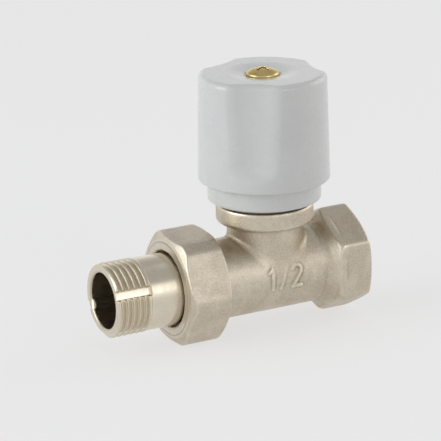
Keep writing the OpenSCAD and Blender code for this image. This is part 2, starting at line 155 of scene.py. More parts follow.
def slab(axis: Axis, lo: float, hi: float) -> Solid:
    """All that lies between two stations on an axis."""

    def distance(p: np.ndarray) -> np.ndarray:
        along = axis.split(p)[1]
        return np.maximum(lo - along, along - hi)

    return Solid(distance)


def hexagon(axis: Axis, flats: float, corner: float, edge: float) -> Solid:
    """An endless hexagonal bar.

    Args:
        axis: Line that the bar is centred on.
        flats: Width across the flats.
        corner: Angle of one corner in degrees.
        edge: Radius of the corners.

    Returns:
        The bar.
    """

    def distance(p: np.ndarray) -> np.ndarray:
        radius, _, angle = axis.split(p)
        fold = (angle - math.radians(corner - 30)) % (TAU / 6) - TAU / 12
        left = radius * np.cos(fold - TAU / 12) - flats / 2
        right = radius * np.cos(fold + TAU / 12) - flats / 2
        return round_meet(left, right, edge)

    return Solid(distance)


def ball(centre: tuple[float, float, float], r: float) -> Solid:
    """A ball."""
    return Solid(lambda p: np.linalg.norm(p - np.array(centre), axis=1) - r)


def plate(angle: float, width: float, reach: tuple[float, float], height: tuple[float, float]) -> Solid:
    """A flat plate that stands on a ray from the spindle axis.

    Args:
        angle: Angle of the ray in degrees.
        width: Thickness across the ray.
        reach: Distances from the axis between which it runs.
        height: Heights between which it stands.

    Returns:
        The plate.
    """
    c, s = math.cos(math.radians(angle)), math.sin(math.radians(angle))

    def distance(p: np.ndarray) -> np.ndarray:
        x = p[:, 0] - SPINDLE_X
        out, across = x * c + p[:, 1] * s, p[:, 1] * c - x * s
        ends = np.maximum(reach[0] - out, out - reach[1])
        level = np.maximum(height[0] - p[:, 2], p[:, 2] - height[1])
        return np.maximum(np.maximum(np.abs(across) - width / 2, ends), level)

    return Solid(distance)


# Skins


@dataclass(frozen=True)
class Skin:
    """A closed surface of four-sided faces.

    Attributes:
        points: Rows of points in millimetres.
        faces: Rows of four point numbers, anticlockwise seen from outside.
        machined: For each point, 1 where a tool has cut and 0 where the surface is as forged.
    """

    points: np.ndarray
    faces: np.ndarray
    machined: np.ndarray

    def plus(self, other: "Skin") -> "Skin":
        """This skin and another as one."""
        return Skin(
            np.vstack([self.points, other.points]),
            np.vstack([self.faces, other.faces + len(self.points)]),
            np.concatenate([self.machined, other.machined]),
        )

    def normals(self) -> np.ndarray:
        """Outward direction at each point."""
        a, b, c, d = (self.points[self.faces[:, k]] for k in range(4))
        across = np.cross(c - a, d - b)
        total = np.zeros_like(self.points)
        for k in range(4):
            for i in range(3):
                total[:, i] += np.bincount(self.faces[:, k], across[:, i], len(self.points))
        return total / np.maximum(np.linalg.norm(total, axis=1), 1e-12)[:, None]

    def relief(self, rounds: int) -> np.ndarray:
        """How far each point stands out of its surroundings.

        Args:
            rounds: How often the surroundings are averaged.

        Returns:
            Millimetres, positive on edges and negative in hollows.
        """
        count = len(self.points)
        ends = np.vstack([self.faces[:, [k, (k + 1) % 4]] for k in range(4)])
        both = np.vstack([ends, ends[:, ::-1]])
        degree = np.bincount(both[:, 0], minlength=count)[:, None]
        calm = self.points
        for _ in range(rounds):
            near = np.stack([np.bincount(both[:, 0], calm[both[:, 1], i], count) for i in range(3)], 1)
            calm = (calm + near / degree) / 2
        return ((self.points - calm) * self.normals()).sum(1)


@dataclass(frozen=True)
class SkinMaker:
    """Draws the surface of a solid on a grid, then settles every point on the true surface.

    Attributes:
        cell: Grid step in millimetres.
        block: Steps along one side of a block, which is left out where it is far from the surface.
        rounds: How often the points are settled.
    """

    cell: float = 0.3
    block: int = 4
    rounds: int = 3

    def draw(self, solid: Solid, lo: Sequence[float], hi: Sequence[float]) -> Skin:
        """The skin of a solid.

        Args:
            solid: The solid.
            lo: Lowest corner of a box around it.
            hi: Highest corner of that box.

        Returns:
            The skin, all of it as forged.
        """
        low = np.array(lo, float) - 3 * self.cell
        blocks = np.ceil((np.array(hi) + 3 * self.cell - low) / (self.cell * self.block)).astype(int)
        points, faces = self._net(self._field(solid, low, blocks))
        points = self._settle(solid, low + points * self.cell)
        return Skin(points, faces, np.zeros(len(points)))

    def _field(self, solid: Solid, low: np.ndarray, blocks: np.ndarray) -> np.ndarray:
        """Distances on the grid, exact only near the surface."""
        side = self.block
        grid = np.stack(np.meshgrid(*map(np.arange, blocks), indexing="ij"), -1).reshape(-1, 3)
        rough = solid.distance(low + (grid * side + (side - 1) / 2) * self.cell)
        near = np.abs(rough) < 1.7 * side * self.cell
        inner = np.stack(np.meshgrid(*[np.arange(side)] * 3, indexing="ij"), -1).reshape(-1, 3)
        spots = low + (grid[near][:, None, :] * side + inner) * self.cell
        values = np.repeat(rough[:, None], side**3, axis=1)
        values[near] = solid.distance(spots.reshape(-1, 3)).reshape(-1, side**3)
        values = values.reshape(*blocks, side, side, side).transpose(0, 3, 1, 4, 2, 5)
        return values.reshape(*(blocks * side))

    @staticmethod
    def _net(field: np.ndarray) -> tuple[np.ndarray, np.ndarray]:
        """Points in the cells that the surface crosses, and faces across each crossed grid line."""
        cells = np.array(field.shape) - 1
        stride = np.array([cells[1] * cells[2], cells[2], 1])
        rings, spots = [], []
        for axis, (u, v) in enumerate(((1, 2), (2, 0), (0, 1))):
            a = np.take(field, range(cells[axis]), axis)
            b = np.take(field, range(1, cells[axis] + 1), axis)
            hit = np.argwhere((a < 0) != (b < 0))
            va, vb = a[tuple(hit.T)], b[tuple(hit.T)]
            spot = hit.astype(float)
            spot[:, axis] += va / (va - vb)
            around = []
            for du, dv in ((0, 0), (1, 0), (1, 1), (0, 1)):
                near = hit.copy()
                near[:, u] -= du
                near[:, v] -= dv
                around.append(near @ stride)
            ring = np.stack(around, 1)
            ring[va > 0] = ring[va > 0][:, ::-1]
            rings.append(ring)
            spots.append(spot)
        ring = np.vstack(rings)
        used, faces = np.unique(ring, return_inverse=True)
        faces = faces.reshape(-1, 4)
        spot = np.repeat(np.vstack(spots), 4, axis=0)
        count = np.bincount(faces.ravel(), minlength=len(used))
        points = np.stack([np.bincount(faces.ravel(), spot[:, i], len(used)) for i in range(3)], 1)
        return points / count[:, None], faces

    def _settle(self, solid: Solid, points: np.ndarray) -> np.ndarray:
        """Moves each point along the slope of the distance until it lies on the surface."""
        step = 0.01
        for _ in range(self.rounds):
            slope = np.stack(
                [solid.distance(points + step * e) - solid.distance(points - step * e) for e in np.eye(3)],
                1,
            ) / (2 * step)
            steep = np.maximum((slope**2).sum(1), 0.25)
            move = np.clip(solid.distance(points) / steep, -self.cell / 2, self.cell / 2)
            points = points - slope * move[:, None]
        return points


@dataclass(frozen=True)
class PipeThread:
    """Right-hand pipe thread of 55 degrees along the pipe axis, with rounded crests and roots.

    Attributes:
        pitch: Distance between crests.
        depth: Depth from crest to root.
    """

    pitch: float = 1.814
    depth: float = 1.162

    def bite(self, angle: np.ndarray, along: np.ndarray) -> np.ndarray:
        """How deep the thread cuts below its crest at each angle and station."""
        turn = (along / self.pitch - angle / TAU) % 1.0
        sharp = self.pitch * 0.9605
        rise = (np.abs(turn - 0.5) * 2 - 0.5) * sharp
        round_rise = np.sin(np.clip(rise / (self.depth / 2) * 1.2, -TAU / 4, TAU / 4))
        return self.depth / 2 * (1 - round_rise)


def ease(value: np.ndarray, start: float, end: float) -> np.ndarray:
    """Rises smoothly from 0 at start to 1 at end."""
    t = np.clip((value - start) / (end - start), 0.0, 1.0)
    return t * t * (3 - 2 * t)


@dataclass(frozen=True)
class Turning:
    """A ring turned about the pipe axis from a closed profile.

    Attributes:
        corners: Station, radius and edge radius of each corner, anticlockwise with the radius up.
        angles: Angles round the axis in radians.
        fine: Sides that get close stations, each by the number of its first corner.
        fine_step: Largest distance between stations on those sides.
        step: Largest distance between stations on the other sides.
    """

    corners: tuple[tuple[float, float, float], ...]
    angles: np.ndarray
    fine: tuple[int, ...]
    fine_step: float = 0.13
    step: float = 0.5

    def loop(self) -> np.ndarray:
        """Stations and radii round the profile."""
        spots = np.array([c[:2] for c in self.corners], float)
        path, steps = [], []
        for i, (here, edge) in enumerate(zip(spots, [c[2] for c in self.corners])):
            step = self.fine_step if i in self.fine else self.step
            back = spots[i - 1] - here
            on = spots[(i + 1) % len(spots)] - here
            back, on = back / np.linalg.norm(back), on / np.linalg.norm(on)
            if edge == 0:
                path.append(here)
                steps.append(step)
                continue
            half = math.acos(max(-1.0, min(1.0, float(back @ on)))) / 2
            reach = edge / math.tan(half)
            middle = here + (back + on) / np.linalg.norm(back + on) * edge / math.sin(half)
            first, last = here + back * reach - middle, here + on * reach - middle
            for share in np.linspace(0, 1, 5):
                spoke = first * (1 - share) + last * share
                path.append(middle + spoke / np.linalg.norm(spoke) * edge)
                steps.append(step)
        ring = np.array(path)
        dense = []
        for a, b, step in zip(ring, np.roll(ring, -1, axis=0), steps):
            pieces = max(1, math.ceil(np.linalg.norm(b - a) / step))
            dense += [a + (b - a) * k / pieces for k in range(pieces)]
        return np.array(dense)

    def skin(self, shape: Callable[[np.ndarray, np.ndarray, np.ndarray], np.ndarray]) -> Skin:
        """The turned skin.

        Args:
            shape: Gives the true radius from the angle, the station and the profile's radius.

        Returns:
            The skin, all of it machined.
        """
        loop = self.loop()
        rows, turns = len(loop), len(self.angles)
        along = np.repeat(loop[:, 0], turns)
        angle = np.tile(self.angles, rows)
        radius = shape(angle, along, np.repeat(loop[:, 1], turns))
        points = np.stack([along, radius * np.cos(angle), radius * np.sin(angle)], 1)
        i, j = np.meshgrid(np.arange(rows), np.arange(turns), indexing="ij")
        i, j = i.ravel(), j.ravel()
        ni, nj = (i + 1) % rows, (j + 1) % turns
        faces = np.stack([i * turns + j, i * turns + nj, ni * turns + nj, ni * turns + j], 1)
        return Skin(points, faces, np.ones(len(points)))


# Shader nodes


class Graph:
    """Adds and links nodes in one tree."""

    def __init__(self, tree: bpy.types.NodeTree) -> None:
        """Takes the tree to work in."""
        self.tree = tree

    def add(self, kind: str, settings: dict[str, object] | None = None, **sockets: object) -> bpy.types.Node:
        """Adds a node.

        Args:
            kind: The node's type without its ShaderNode prefix.
            settings: Properties of the node.
            sockets: Inputs by name with _ for a space; a value is set and a socket is linked.

        Returns:
            The node.
        """
        node = self.tree.nodes.new("ShaderNode" + kind)
        for key, value in (settings or {}).items():
            setattr(node, key, value)
        for key, value in sockets.items():
            self.feed(node.inputs[key.replace("_", " ")], value)
        return node

    def feed(self, target: bpy.types.NodeSocket, value: object) -> None:
        """Links a socket into an input, or sets the input's value."""
        if isinstance(value, bpy.types.NodeSocket):
            self.tree.links.new(value, target)
        elif isinstance(value, tuple) and len(value) == 3 and target.type == "RGBA":
            target.default_value = (*value, 1.0)
        else:
            target.default_value = value

    def maths(self, operation: str, a: object, b: object = 0.0, clamp: bool = False) -> bpy.types.NodeSocket:
        """Result of a Math node."""
        node = self.add("Math", {"operation": operation, "use_clamp": clamp})
        self.feed(node.inputs[0], a)
        self.feed(node.inputs[1], b)
        return node.outputs[0]

    def blend(self, share: object, a: object, b: object) -> bpy.types.NodeSocket:
        """Colour that goes from a to b as share goes from 0 to 1."""
        node = self.add("Mix", {"data_type": "RGBA"})
        self.feed(node.inputs["Factor"], share)
        self.feed(node.inputs[6], a)
        self.feed(node.inputs[7], b)
        return node.outputs[2]

    def span(self, value: object, lo: float, hi: float, to_lo: float, to_hi: float) -> bpy.types.NodeSocket:
        """Value mapped from one range to another and held within it."""
        node = self.add("MapRange", {"interpolation_type": "SMOOTHSTEP"})
        for key, entry in zip((0, 1, 2, 3, 4), (value, lo, hi, to_lo, to_hi)):
            self.feed(node.inputs[key], entry)
        return node.outputs[0]

    def noise(self, vector: object, scale: object, detail: float = 2.0, roughness: float = 0.5) -> bpy.types.NodeSocket:
        """Noise value from 0 to 1 about 0.5."""
        node = self.add("TexNoise", Vector=vector, Scale=scale, Detail=detail, Roughness=roughness)
        return node.outputs[0]


class Effect(Enum):
    """Effects that several materials share, each one a node group."""

    GRAIN = "blasted_grain"
    CLOUDS = "plating_clouds"
    WEAR = "edge_wear"
    SOIL_AND_SHADE = "recess_soil_and_shade"
    TURNED = "turned_lines"


class Effects:
    """Makes each shared effect once, and places it in materials."""

    def __init__(self) -> None:
        """Makes all groups."""
        self.groups = {
            Effect.GRAIN: self._grain(),
            Effect.CLOUDS: self._clouds(),
            Effect.WEAR: self._wear(),
            Effect.SOIL_AND_SHADE: self._soil_and_shade(),
            Effect.TURNED: self._turned(),
        }

    def place(self, graph: Graph, effect: Effect, **sockets: object) -> bpy.types.Node:
        """Adds an effect's group to a material.

        Args:
            graph: The material's tree.
            effect: Which effect.
            sockets: Inputs of the group by name.

        Returns:
            The group's node.
        """
        node = graph.tree.nodes.new("ShaderNodeGroup")
        node.node_tree = self.groups[effect]
        for key, value in sockets.items():
            graph.feed(node.inputs[key], value)
        return node

    @staticmethod
    def _group(effect: Effect, inputs: dict[str, float | None], outputs: Sequence[str]) -> tuple:
        """A new group with named sockets.

        Args:
            effect: The effect that it is for.
            inputs: Names and defaults; None is a vector.
            outputs: Names of the values it puts out.

        Returns:
            The group's graph, its input node and its output node.
        """
        tree = bpy.data.node_groups.new(effect.value, "ShaderNodeTree")
        for name, default in inputs.items():
            kind = "NodeSocketVector" if default is None else "NodeSocketFloat"
            socket = tree.interface.new_socket(name, in_out="INPUT", socket_type=kind)
            if default is not None:
                socket.default_value = default
        for name in outputs:
            tree.interface.new_socket(name, in_out="OUTPUT", socket_type="NodeSocketFloat")
        return Graph(tree), tree.nodes.new("NodeGroupInput"), tree.nodes.new("NodeGroupOutput")

    def _grain(self) -> bpy.types.NodeTree:
        """Pits and bumps left by shot blasting, and a mask of painted glints on them."""
        graph, given, result = self._group(
            Effect.GRAIN, {"Place": None, "Scale": 2600.0, "Coarse": 0.4}, ("Height", "Glint")
        )
        place, scale = given.outputs["Place"], given.outputs["Scale"]
        fine = graph.noise(place, scale, 1.0)
        coarse = graph.noise(place, graph.maths("MULTIPLY", scale, 0.37), 2.0)
        pits = graph.add("TexVoronoi", {"feature": "SMOOTH_F1"}, Vector=place, Scale=scale)
        pit = graph.span(pits.outputs["Distance"], 0.0, 0.55, 0.0, 1.0)
        share = given.outputs["Coarse"]
        height = graph.maths("ADD", graph.maths("MULTIPLY", fine, 0.6), graph.maths("MULTIPLY", pit, 0.35))
        height = graph.maths("ADD", height, graph.maths("MULTIPLY", coarse, share))
        graph.feed(result.inputs["Height"], height)
        graph.feed(result.inputs["Glint"], graph.span(fine, 0.35, 0.68, 0.0, 1.0))
        return graph.tree

    def _clouds(self) -> bpy.types.NodeTree:
        """Slow uneven tone of thin plating."""
        graph, given, result = self._group(Effect.CLOUDS, {"Place": None, "Scale": 120.0}, ("Mask",))
        place, scale = given.outputs["Place"], given.outputs["Scale"]
        slow = graph.noise(place, scale, 3.0, 0.55)
        quick = graph.noise(place, graph.maths("MULTIPLY", scale, 4.3), 3.0, 0.6)
        mixed = graph.maths("ADD", graph.maths("MULTIPLY", slow, 0.65), graph.maths("MULTIPLY", quick, 0.35))
        graph.feed(result.inputs["Mask"], graph.span(mixed, 0.36, 0.64, 0.0, 1.0))
        return graph.tree

    def _wear(self) -> bpy.types.NodeTree:
        """Rubbed edges, broken up by noise."""
        graph, given, result = self._group(
            Effect.WEAR, {"Place": None, "Edge": 0.0, "Amount": 0.6, "Scale": 700.0}, ("Mask",)
        )
        broken = graph.noise(given.outputs["Place"], given.outputs["Scale"], 2.0)
        rubbed = graph.maths("MULTIPLY", given.outputs["Edge"], graph.maths("ADD", broken, 0.5))
        graph.feed(
            result.inputs["Mask"], graph.maths("MULTIPLY", rubbed, given.outputs["Amount"], clamp=True)
        )
        return graph.tree

    def _soil_and_shade(self) -> bpy.types.NodeTree:
        """Darkening in hollows: dull matter that settles there, and painted shade."""
        graph, given, result = self._group(
            Effect.SOIL_AND_SHADE, {"Place": None, "Recess": 0.0, "Amount": 0.7, "Scale": 420.0}, ("Mask",)
        )
        patchy = graph.noise(given.outputs["Place"], given.outputs["Scale"], 3.0, 0.6)
        settled = graph.maths("MULTIPLY", given.outputs["Recess"], graph.maths("ADD", patchy, 0.55))
        graph.feed(
            result.inputs["Mask"], graph.maths("MULTIPLY", settled, given.outputs["Amount"], clamp=True)
        )
        return graph.tree

    def _turned(self) -> bpy.types.NodeTree:
        """Fine rings left by a turning tool about the pipe or the spindle axis."""
        graph, given, result = self._group(
            Effect.TURNED, {"Radius": 0.0, "Station": 0.0, "Scale": 3000.0}, ("Height",)
        )
        flat = graph.add("CombineXYZ", X=given.outputs["Radius"], Y=given.outputs["Station"])
        lines = graph.noise(flat.outputs[0], given.outputs["Scale"], 3.0, 0.6)
        graph.feed(result.inputs["Height"], lines)
        return graph.tree


class Texture(Enum):
    """How a metal surface was left."""

    BLASTED = "blasted"
    TURNED_ON_PIPE = "turned about the pipe axis"
    TURNED_ON_SPINDLE = "turned about the spindle axis"


@dataclass(frozen=True)
class MetalFinish:
    """Plated, blasted or turned metal.

    Attributes:
        name: Material name.
        tone: Usual colour.
        shade: Colour of the darker clouds.
        bright: Colour of rubbed edges and cut surfaces, and of the painted glints on the blasted grain.
        deep: Colour of what settles in hollows, and of the painted shade there.
        roughness: Usual roughness.
        cut_roughness: Roughness of cut surfaces and rubbed edges.
        texture: How the surface was left.
        grain: Scale of the blasted grain, per metre.
        grain_depth: Depth of the blasted grain, in metres.
        parting: Depth of the line that the forging dies leave, in metres.
    """

    name: str
    tone: Colour
    shade: Colour
    bright: Colour
    deep: Colour
    roughness: float = 0.42
    cut_roughness: float = 0.24
    texture: Texture = Texture.BLASTED
    grain: float = 2600.0
    grain_depth: float = 0.00006
    parting: float = 0.0

    def material(self, effects: Effects) -> bpy.types.Material:
        """The finish as a material.

        Args:
            effects: The shared effects.

        Returns:
            The material.
        """
        made = bpy.data.materials.new(self.name)
        made.use_nodes = True
        graph = Graph(made.node_tree)
        shader = made.node_tree.nodes["Principled BSDF"]
        shader.inputs["Metallic"].default_value = 1.0
        place = graph.add("TexCoord").outputs["Object"]
        edge = graph.add("Attribute", {"attribute_name": "edge"}).outputs["Fac"]
        recess = graph.add("Attribute", {"attribute_name": "recess"}).outputs["Fac"]
        cut = graph.add("Attribute", {"attribute_name": "machined"}).outputs["Fac"]
        clouds = effects.place(graph, Effect.CLOUDS, Place=place).outputs["Mask"]
        grain = effects.place(graph, Effect.GRAIN, Place=place, Scale=self.grain)
        wear = effects.place(graph, Effect.WEAR, Place=place, Edge=edge).outputs["Mask"]
        soil_and_shade = effects.place(graph, Effect.SOIL_AND_SHADE, Place=place, Recess=recess).outputs["Mask"]
        bright = graph.maths("MAXIMUM", wear, graph.maths("MULTIPLY", cut, 0.75))
        colour = graph.blend(clouds, self.shade, self.tone)
        if self.texture is Texture.BLASTED:
            # Painted glints: the grain's Glint mask blends the blasted colour toward bright.
            speck = graph.maths("MULTIPLY", grain.outputs["Glint"], graph.maths("SUBTRACT", 1.0, cut))
            colour = graph.blend(graph.maths("MULTIPLY", speck, 0.35), colour, self.bright)
        colour = graph.blend(bright, colour, self.bright)
        # Painted shade: hollows blend toward deep, along with the dirt that settles there.
        colour = graph.blend(soil_and_shade, colour, self.deep)
        graph.feed(shader.inputs["Base Color"], colour)
        rough = graph.span(clouds, 0.0, 1.0, self.roughness + 0.05, self.roughness - 0.04)
        step = graph.maths("MULTIPLY", bright, self.cut_roughness - self.roughness)
        rough = graph.maths("ADD", rough, step)
        rough = graph.maths("ADD", rough, graph.maths("MULTIPLY", soil_and_shade, 0.2))
        graph.feed(shader.inputs["Roughness"], rough)
        graph.feed(shader.inputs["Normal"], self._normal(graph, effects, place, grain, cut))
        return made

    def _normal(
        self,
        graph: Graph,
        effects: Effects,
        place: bpy.types.NodeSocket,
        grain: bpy.types.Node,
        cut: bpy.types.NodeSocket,
    ) -> bpy.types.NodeSocket:
        """Normal with the grain, the tool's rings and the parting line."""
        parts = graph.add("SeparateXYZ", Vector=place)
        x, y, z = parts.outputs
        if self.texture is Texture.TURNED_ON_SPINDLE:
            x = graph.maths("SUBTRACT", x, SPINDLE_X * MM)
            ring, station = graph.add("CombineXYZ", X=x, Y=y), z
        else:
            ring, station = graph.add("CombineXYZ", X=y, Y=z), x
        length = graph.add("VectorMath", {"operation": "LENGTH"})
        graph.feed(length.inputs[0], ring.outputs[0])
        lines = effects.place(graph, Effect.TURNED, Radius=length.outputs["Value"], Station=station)
        turned = graph.add("Bump", Height=lines.outputs["Height"], Strength=0.35, Distance=0.00002)
        normal = turned.outputs[0]
        if self.texture is Texture.BLASTED:
            kept = graph.maths("SUBTRACT", 1.0, cut)
            height = graph.maths("MULTIPLY", grain.outputs["Height"], kept)
            if self.parting > 0:
                near = graph.maths("DIVIDE", graph.add("SeparateXYZ", Vector=place).outputs["Y"], 0.00022)
                bell = graph.maths("POWER", math.e, graph.maths("MULTIPLY", graph.maths("POWER", near, 2.0), -1.0))
                line = graph.maths("MULTIPLY", bell, self.parting / self.grain_depth)
                height = graph.maths("ADD", height, graph.maths("MULTIPLY", line, kept))
            blasted = graph.add("Bump", Height=height, Strength=1.0, Distance=self.grain_depth)
            normal = blasted.outputs[0]
        return normal


@dataclass(frozen=True)
class PlasticFinish:
    """Glossy moulded plastic.

    Attributes:
        name: Material name.
        tone: Usual colour.
        shade: Colour of the faint flow marks, and of the painted shade in hollows.
        roughness: Usual roughness.
        coat: Weight of the clear gloss.
        speck: Colour of the few specks in the plastic.
    """

    name: str
    tone: Colour
    shade: Colour
    roughness: float = 0.3
    coat: float = 0.4
    speck: Colour = (0.35, 0.34, 0.31)

    def material(self, effects: Effects) -> bpy.types.Material:
        """The finish as a material."""
        made = bpy.data.materials.new(self.name)
        made.use_nodes = True
        graph = Graph(made.node_tree)
        shader = made.node_tree.nodes["Principled BSDF"]
        shader.inputs["IOR"].default_value = 1.49
        shader.inputs["Coat Weight"].default_value = self.coat
        shader.inputs["Coat Roughness"].default_value = 0.06
        place = graph.add("TexCoord").outputs["Object"]
        recess = graph.add("Attribute", {"attribute_name": "recess"}).outputs["Fac"]
        clouds = effects.place(graph, Effect.CLOUDS, Place=place, Scale=70.0).outputs["Mask"]
        soil_and_shade = effects.place(graph, Effect.SOIL_AND_SHADE, Place=place, Recess=recess, Amount=0.25).outputs["Mask"]
        dots = graph.add("TexVoronoi", {"feature": "F1"}, Vector=place, Scale=130.0, Randomness=1.0)
        rare = graph.maths("GREATER_THAN", graph.add("SeparateColor", Color=dots.outputs["Color"]).outputs[0], 0.8)
        speck = graph.span(dots.outputs["Distance"], 0.018, 0.04, 0.55, 0.0)
        colour = graph.blend(clouds, self.shade, self.tone)
        # Painted shade: hollows blend toward the shade colour.
        colour = graph.blend(soil_and_shade, colour, self.shade)
        colour = graph.blend(graph.maths("MULTIPLY", rare, speck), colour, self.speck)
        graph.feed(shader.inputs["Base Color"], colour)
        rub = graph.noise(place, 260.0, 3.0, 0.6)
        graph.feed(
            shader.inputs["Roughness"], graph.span(rub, 0.3, 0.7, self.roughness - 0.04, self.roughness + 0.05)
        )
        ripple = graph.noise(place, 190.0, 2.0)
        graph.feed(
            shader.inputs["Normal"], graph.add("Bump", Height=ripple, Strength=0.25, Distance=0.00004).outputs[0]
        )
        return made


@dataclass(frozen=True)
class SoftFinish:
    """Rubber, fibre or waxy seal.

    Attributes:
        name: Material name.
        tone: Usual colour.
        dusty: Colour of the bloom on it.
        roughness: Usual roughness.
        grain: Scale of its grain, per metre.
    """

    name: str
    tone: Colour
    dusty: Colour
    roughness: float = 0.6
    grain: float = 1800.0

    def material(self, effects: Effects) -> bpy.types.Material:
        """The finish as a material."""
        made = bpy.data.materials.new(self.name)
        made.use_nodes = True
        graph = Graph(made.node_tree)
        shader = made.node_tree.nodes["Principled BSDF"]
        place = graph.add("TexCoord").outputs["Object"]
        clouds = effects.place(graph, Effect.CLOUDS, Place=place, Scale=260.0).outputs["Mask"]
        grain = effects.place(graph, Effect.GRAIN, Place=place, Scale=self.grain)
        graph.feed(shader.inputs["Base Color"], graph.blend(clouds, self.tone, self.dusty))
        graph.feed(
            shader.inputs["Roughness"],
            graph.span(clouds, 0.0, 1.0, self.roughness, min(0.95, self.roughness + 0.15)),
        )
        bump = graph.add("Bump", Height=grain.outputs["Height"], Strength=0.5, Distance=0.00003)
        graph.feed(shader.inputs["Normal"], bump.outputs[0])
        return made


FINISHES = {
    "forged_brass": MetalFinish(
        "forged_brass",
        tone=(0.60, 0.53, 0.425),
        shade=(0.51, 0.44, 0.335),
        bright=(0.80, 0.74, 0.64),
        deep=(0.25, 0.19, 0.10),
        parting=0.00005,
    ),
    "forged_nut_brass": MetalFinish(
        "forged_nut_brass",
        tone=(0.60, 0.53, 0.425),
        shade=(0.52, 0.45, 0.345),
        bright=(0.82, 0.77, 0.68),
        deep=(0.25, 0.19, 0.10),
        grain=2900.0,
        grain_depth=0.00005,
    ),
    "turned_brass": MetalFinish(
        "turned_brass",
        tone=(0.58, 0.50, 0.37),
        shade=(0.50, 0.42, 0.29),
        bright=(0.80, 0.74, 0.62),
        deep=(0.20, 0.14, 0.06),
        roughness=0.3,
        cut_roughness=0.2,
        texture=Texture.TURNED_ON_PIPE,
    ),
    "plain_brass": MetalFinish(
        "plain_brass",
        tone=(0.76, 0.58, 0.27),
        shade=(0.68, 0.50, 0.21),
        bright=(0.86, 0.70, 0.38),
        deep=(0.28, 0.18, 0.06),
        roughness=0.28,
        texture=Texture.TURNED_ON_SPINDLE,
    ),
    "screw_brass": MetalFinish(
        "screw_brass",
        tone=(0.68, 0.53, 0.22),
        shade=(0.50, 0.37, 0.13),
        bright=(0.90, 0.78, 0.45),
        deep=(0.10, 0.07, 0.02),
        roughness=0.27,
        cut_roughness=0.18,
        texture=Texture.TURNED_ON_SPINDLE,
    ),
    "spring_steel": MetalFinish(
        "spring_steel",
        tone=(0.50, 0.50, 0.51),
        shade=(0.42, 0.42, 0.43),
        bright=(0.66, 0.66, 0.67),
        deep=(0.14, 0.13, 0.12),
        roughness=0.33,
        texture=Texture.TURNED_ON_SPINDLE,
    ),
    "white_plastic": PlasticFinish("white_plastic", tone=(0.80, 0.81, 0.80), shade=(0.77, 0.78, 0.77)),
    "white_seal": SoftFinish("white_seal", (0.80, 0.80, 0.76), (0.86, 0.86, 0.83), 0.4, 900.0),
    "fibre_gasket": SoftFinish("fibre_gasket", (0.09, 0.075, 0.06), (0.14, 0.12, 0.10), 0.75, 2200.0),
    "black_rubber": SoftFinish("black_rubber", (0.022, 0.022, 0.022), (0.05, 0.05, 0.05), 0.5, 1600.0),
}


# Pieces


class PieceMaker:
    """Turns skins into Blender pieces, and gives every piece its finish."""

    def __init__(self) -> None:
        """Makes a material for each slot of the record."""
        effects = Effects()
        self.materials = {slot: finish.material(effects) for slot, finish in FINISHES.items()}

    def piece(
        self, name: str, skin: Skin, node: str, body: str, slot: str, sharp: float, rounds: int = 6
    ) -> bpy.types.Object:
        """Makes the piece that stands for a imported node.

        Args:
            name: Name of the piece.
            skin: Its skin.
            node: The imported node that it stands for.
            body: The moving body that it rides on.
            slot: The material slot of its finish.
            sharp: How far an edge must stand out, in millimetres, to count in full.
            rounds: How widely the surroundings of each point are averaged.

        Returns:
            The object.
        """
        mesh = bpy.data.meshes.new(name)
        faces = len(skin.faces)
        mesh.vertices.add(len(skin.points))
        mesh.vertices.foreach_set("co", (skin.points * MM).astype(np.float32).ravel())
        mesh.loops.add(4 * faces)
        mesh.loops.foreach_set("vertex_index", skin.faces.astype(np.int32).ravel())
        mesh.polygons.add(faces)
        mesh.polygons.foreach_set("loop_start", np.arange(0, 4 * faces, 4, dtype=np.int32))
        mesh.update(calc_edges=True)
        mesh.validate()
        mesh.shade_smooth()
        relief = skin.relief(rounds) / sharp
        marks = {
            "edge": np.clip(relief, 0, 1),
            "recess": np.clip(-relief, 0, 1),
            "machined": skin.machined,
        }
        for key, values in marks.items():
            mark = mesh.attributes.new(key, "FLOAT", "POINT")
            mark.data.foreach_set("value", values.astype(np.float32))
        mesh.materials.append(self.materials[slot])
        made = bpy.data.objects.new(name, mesh)
        bpy.context.scene.collection.objects.link(made)
        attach(made, body)
        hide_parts(node)
        LOG.info("%s: %d triangles, rides on %s, finish %s", name, 2 * faces, body, slot)
        return made

    def dress_node(self, node: str, slot: str) -> None:
        """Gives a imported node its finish."""
        held = frame["nodes"][node]
        if not held.material_slots:
            LOG.warning("%s has no material slot", node)
        for place in held.material_slots:
            place.link = "OBJECT"
            place.material = self.materials[slot]
        LOG.info("%s: kept as packed, finish %s", node, slot)


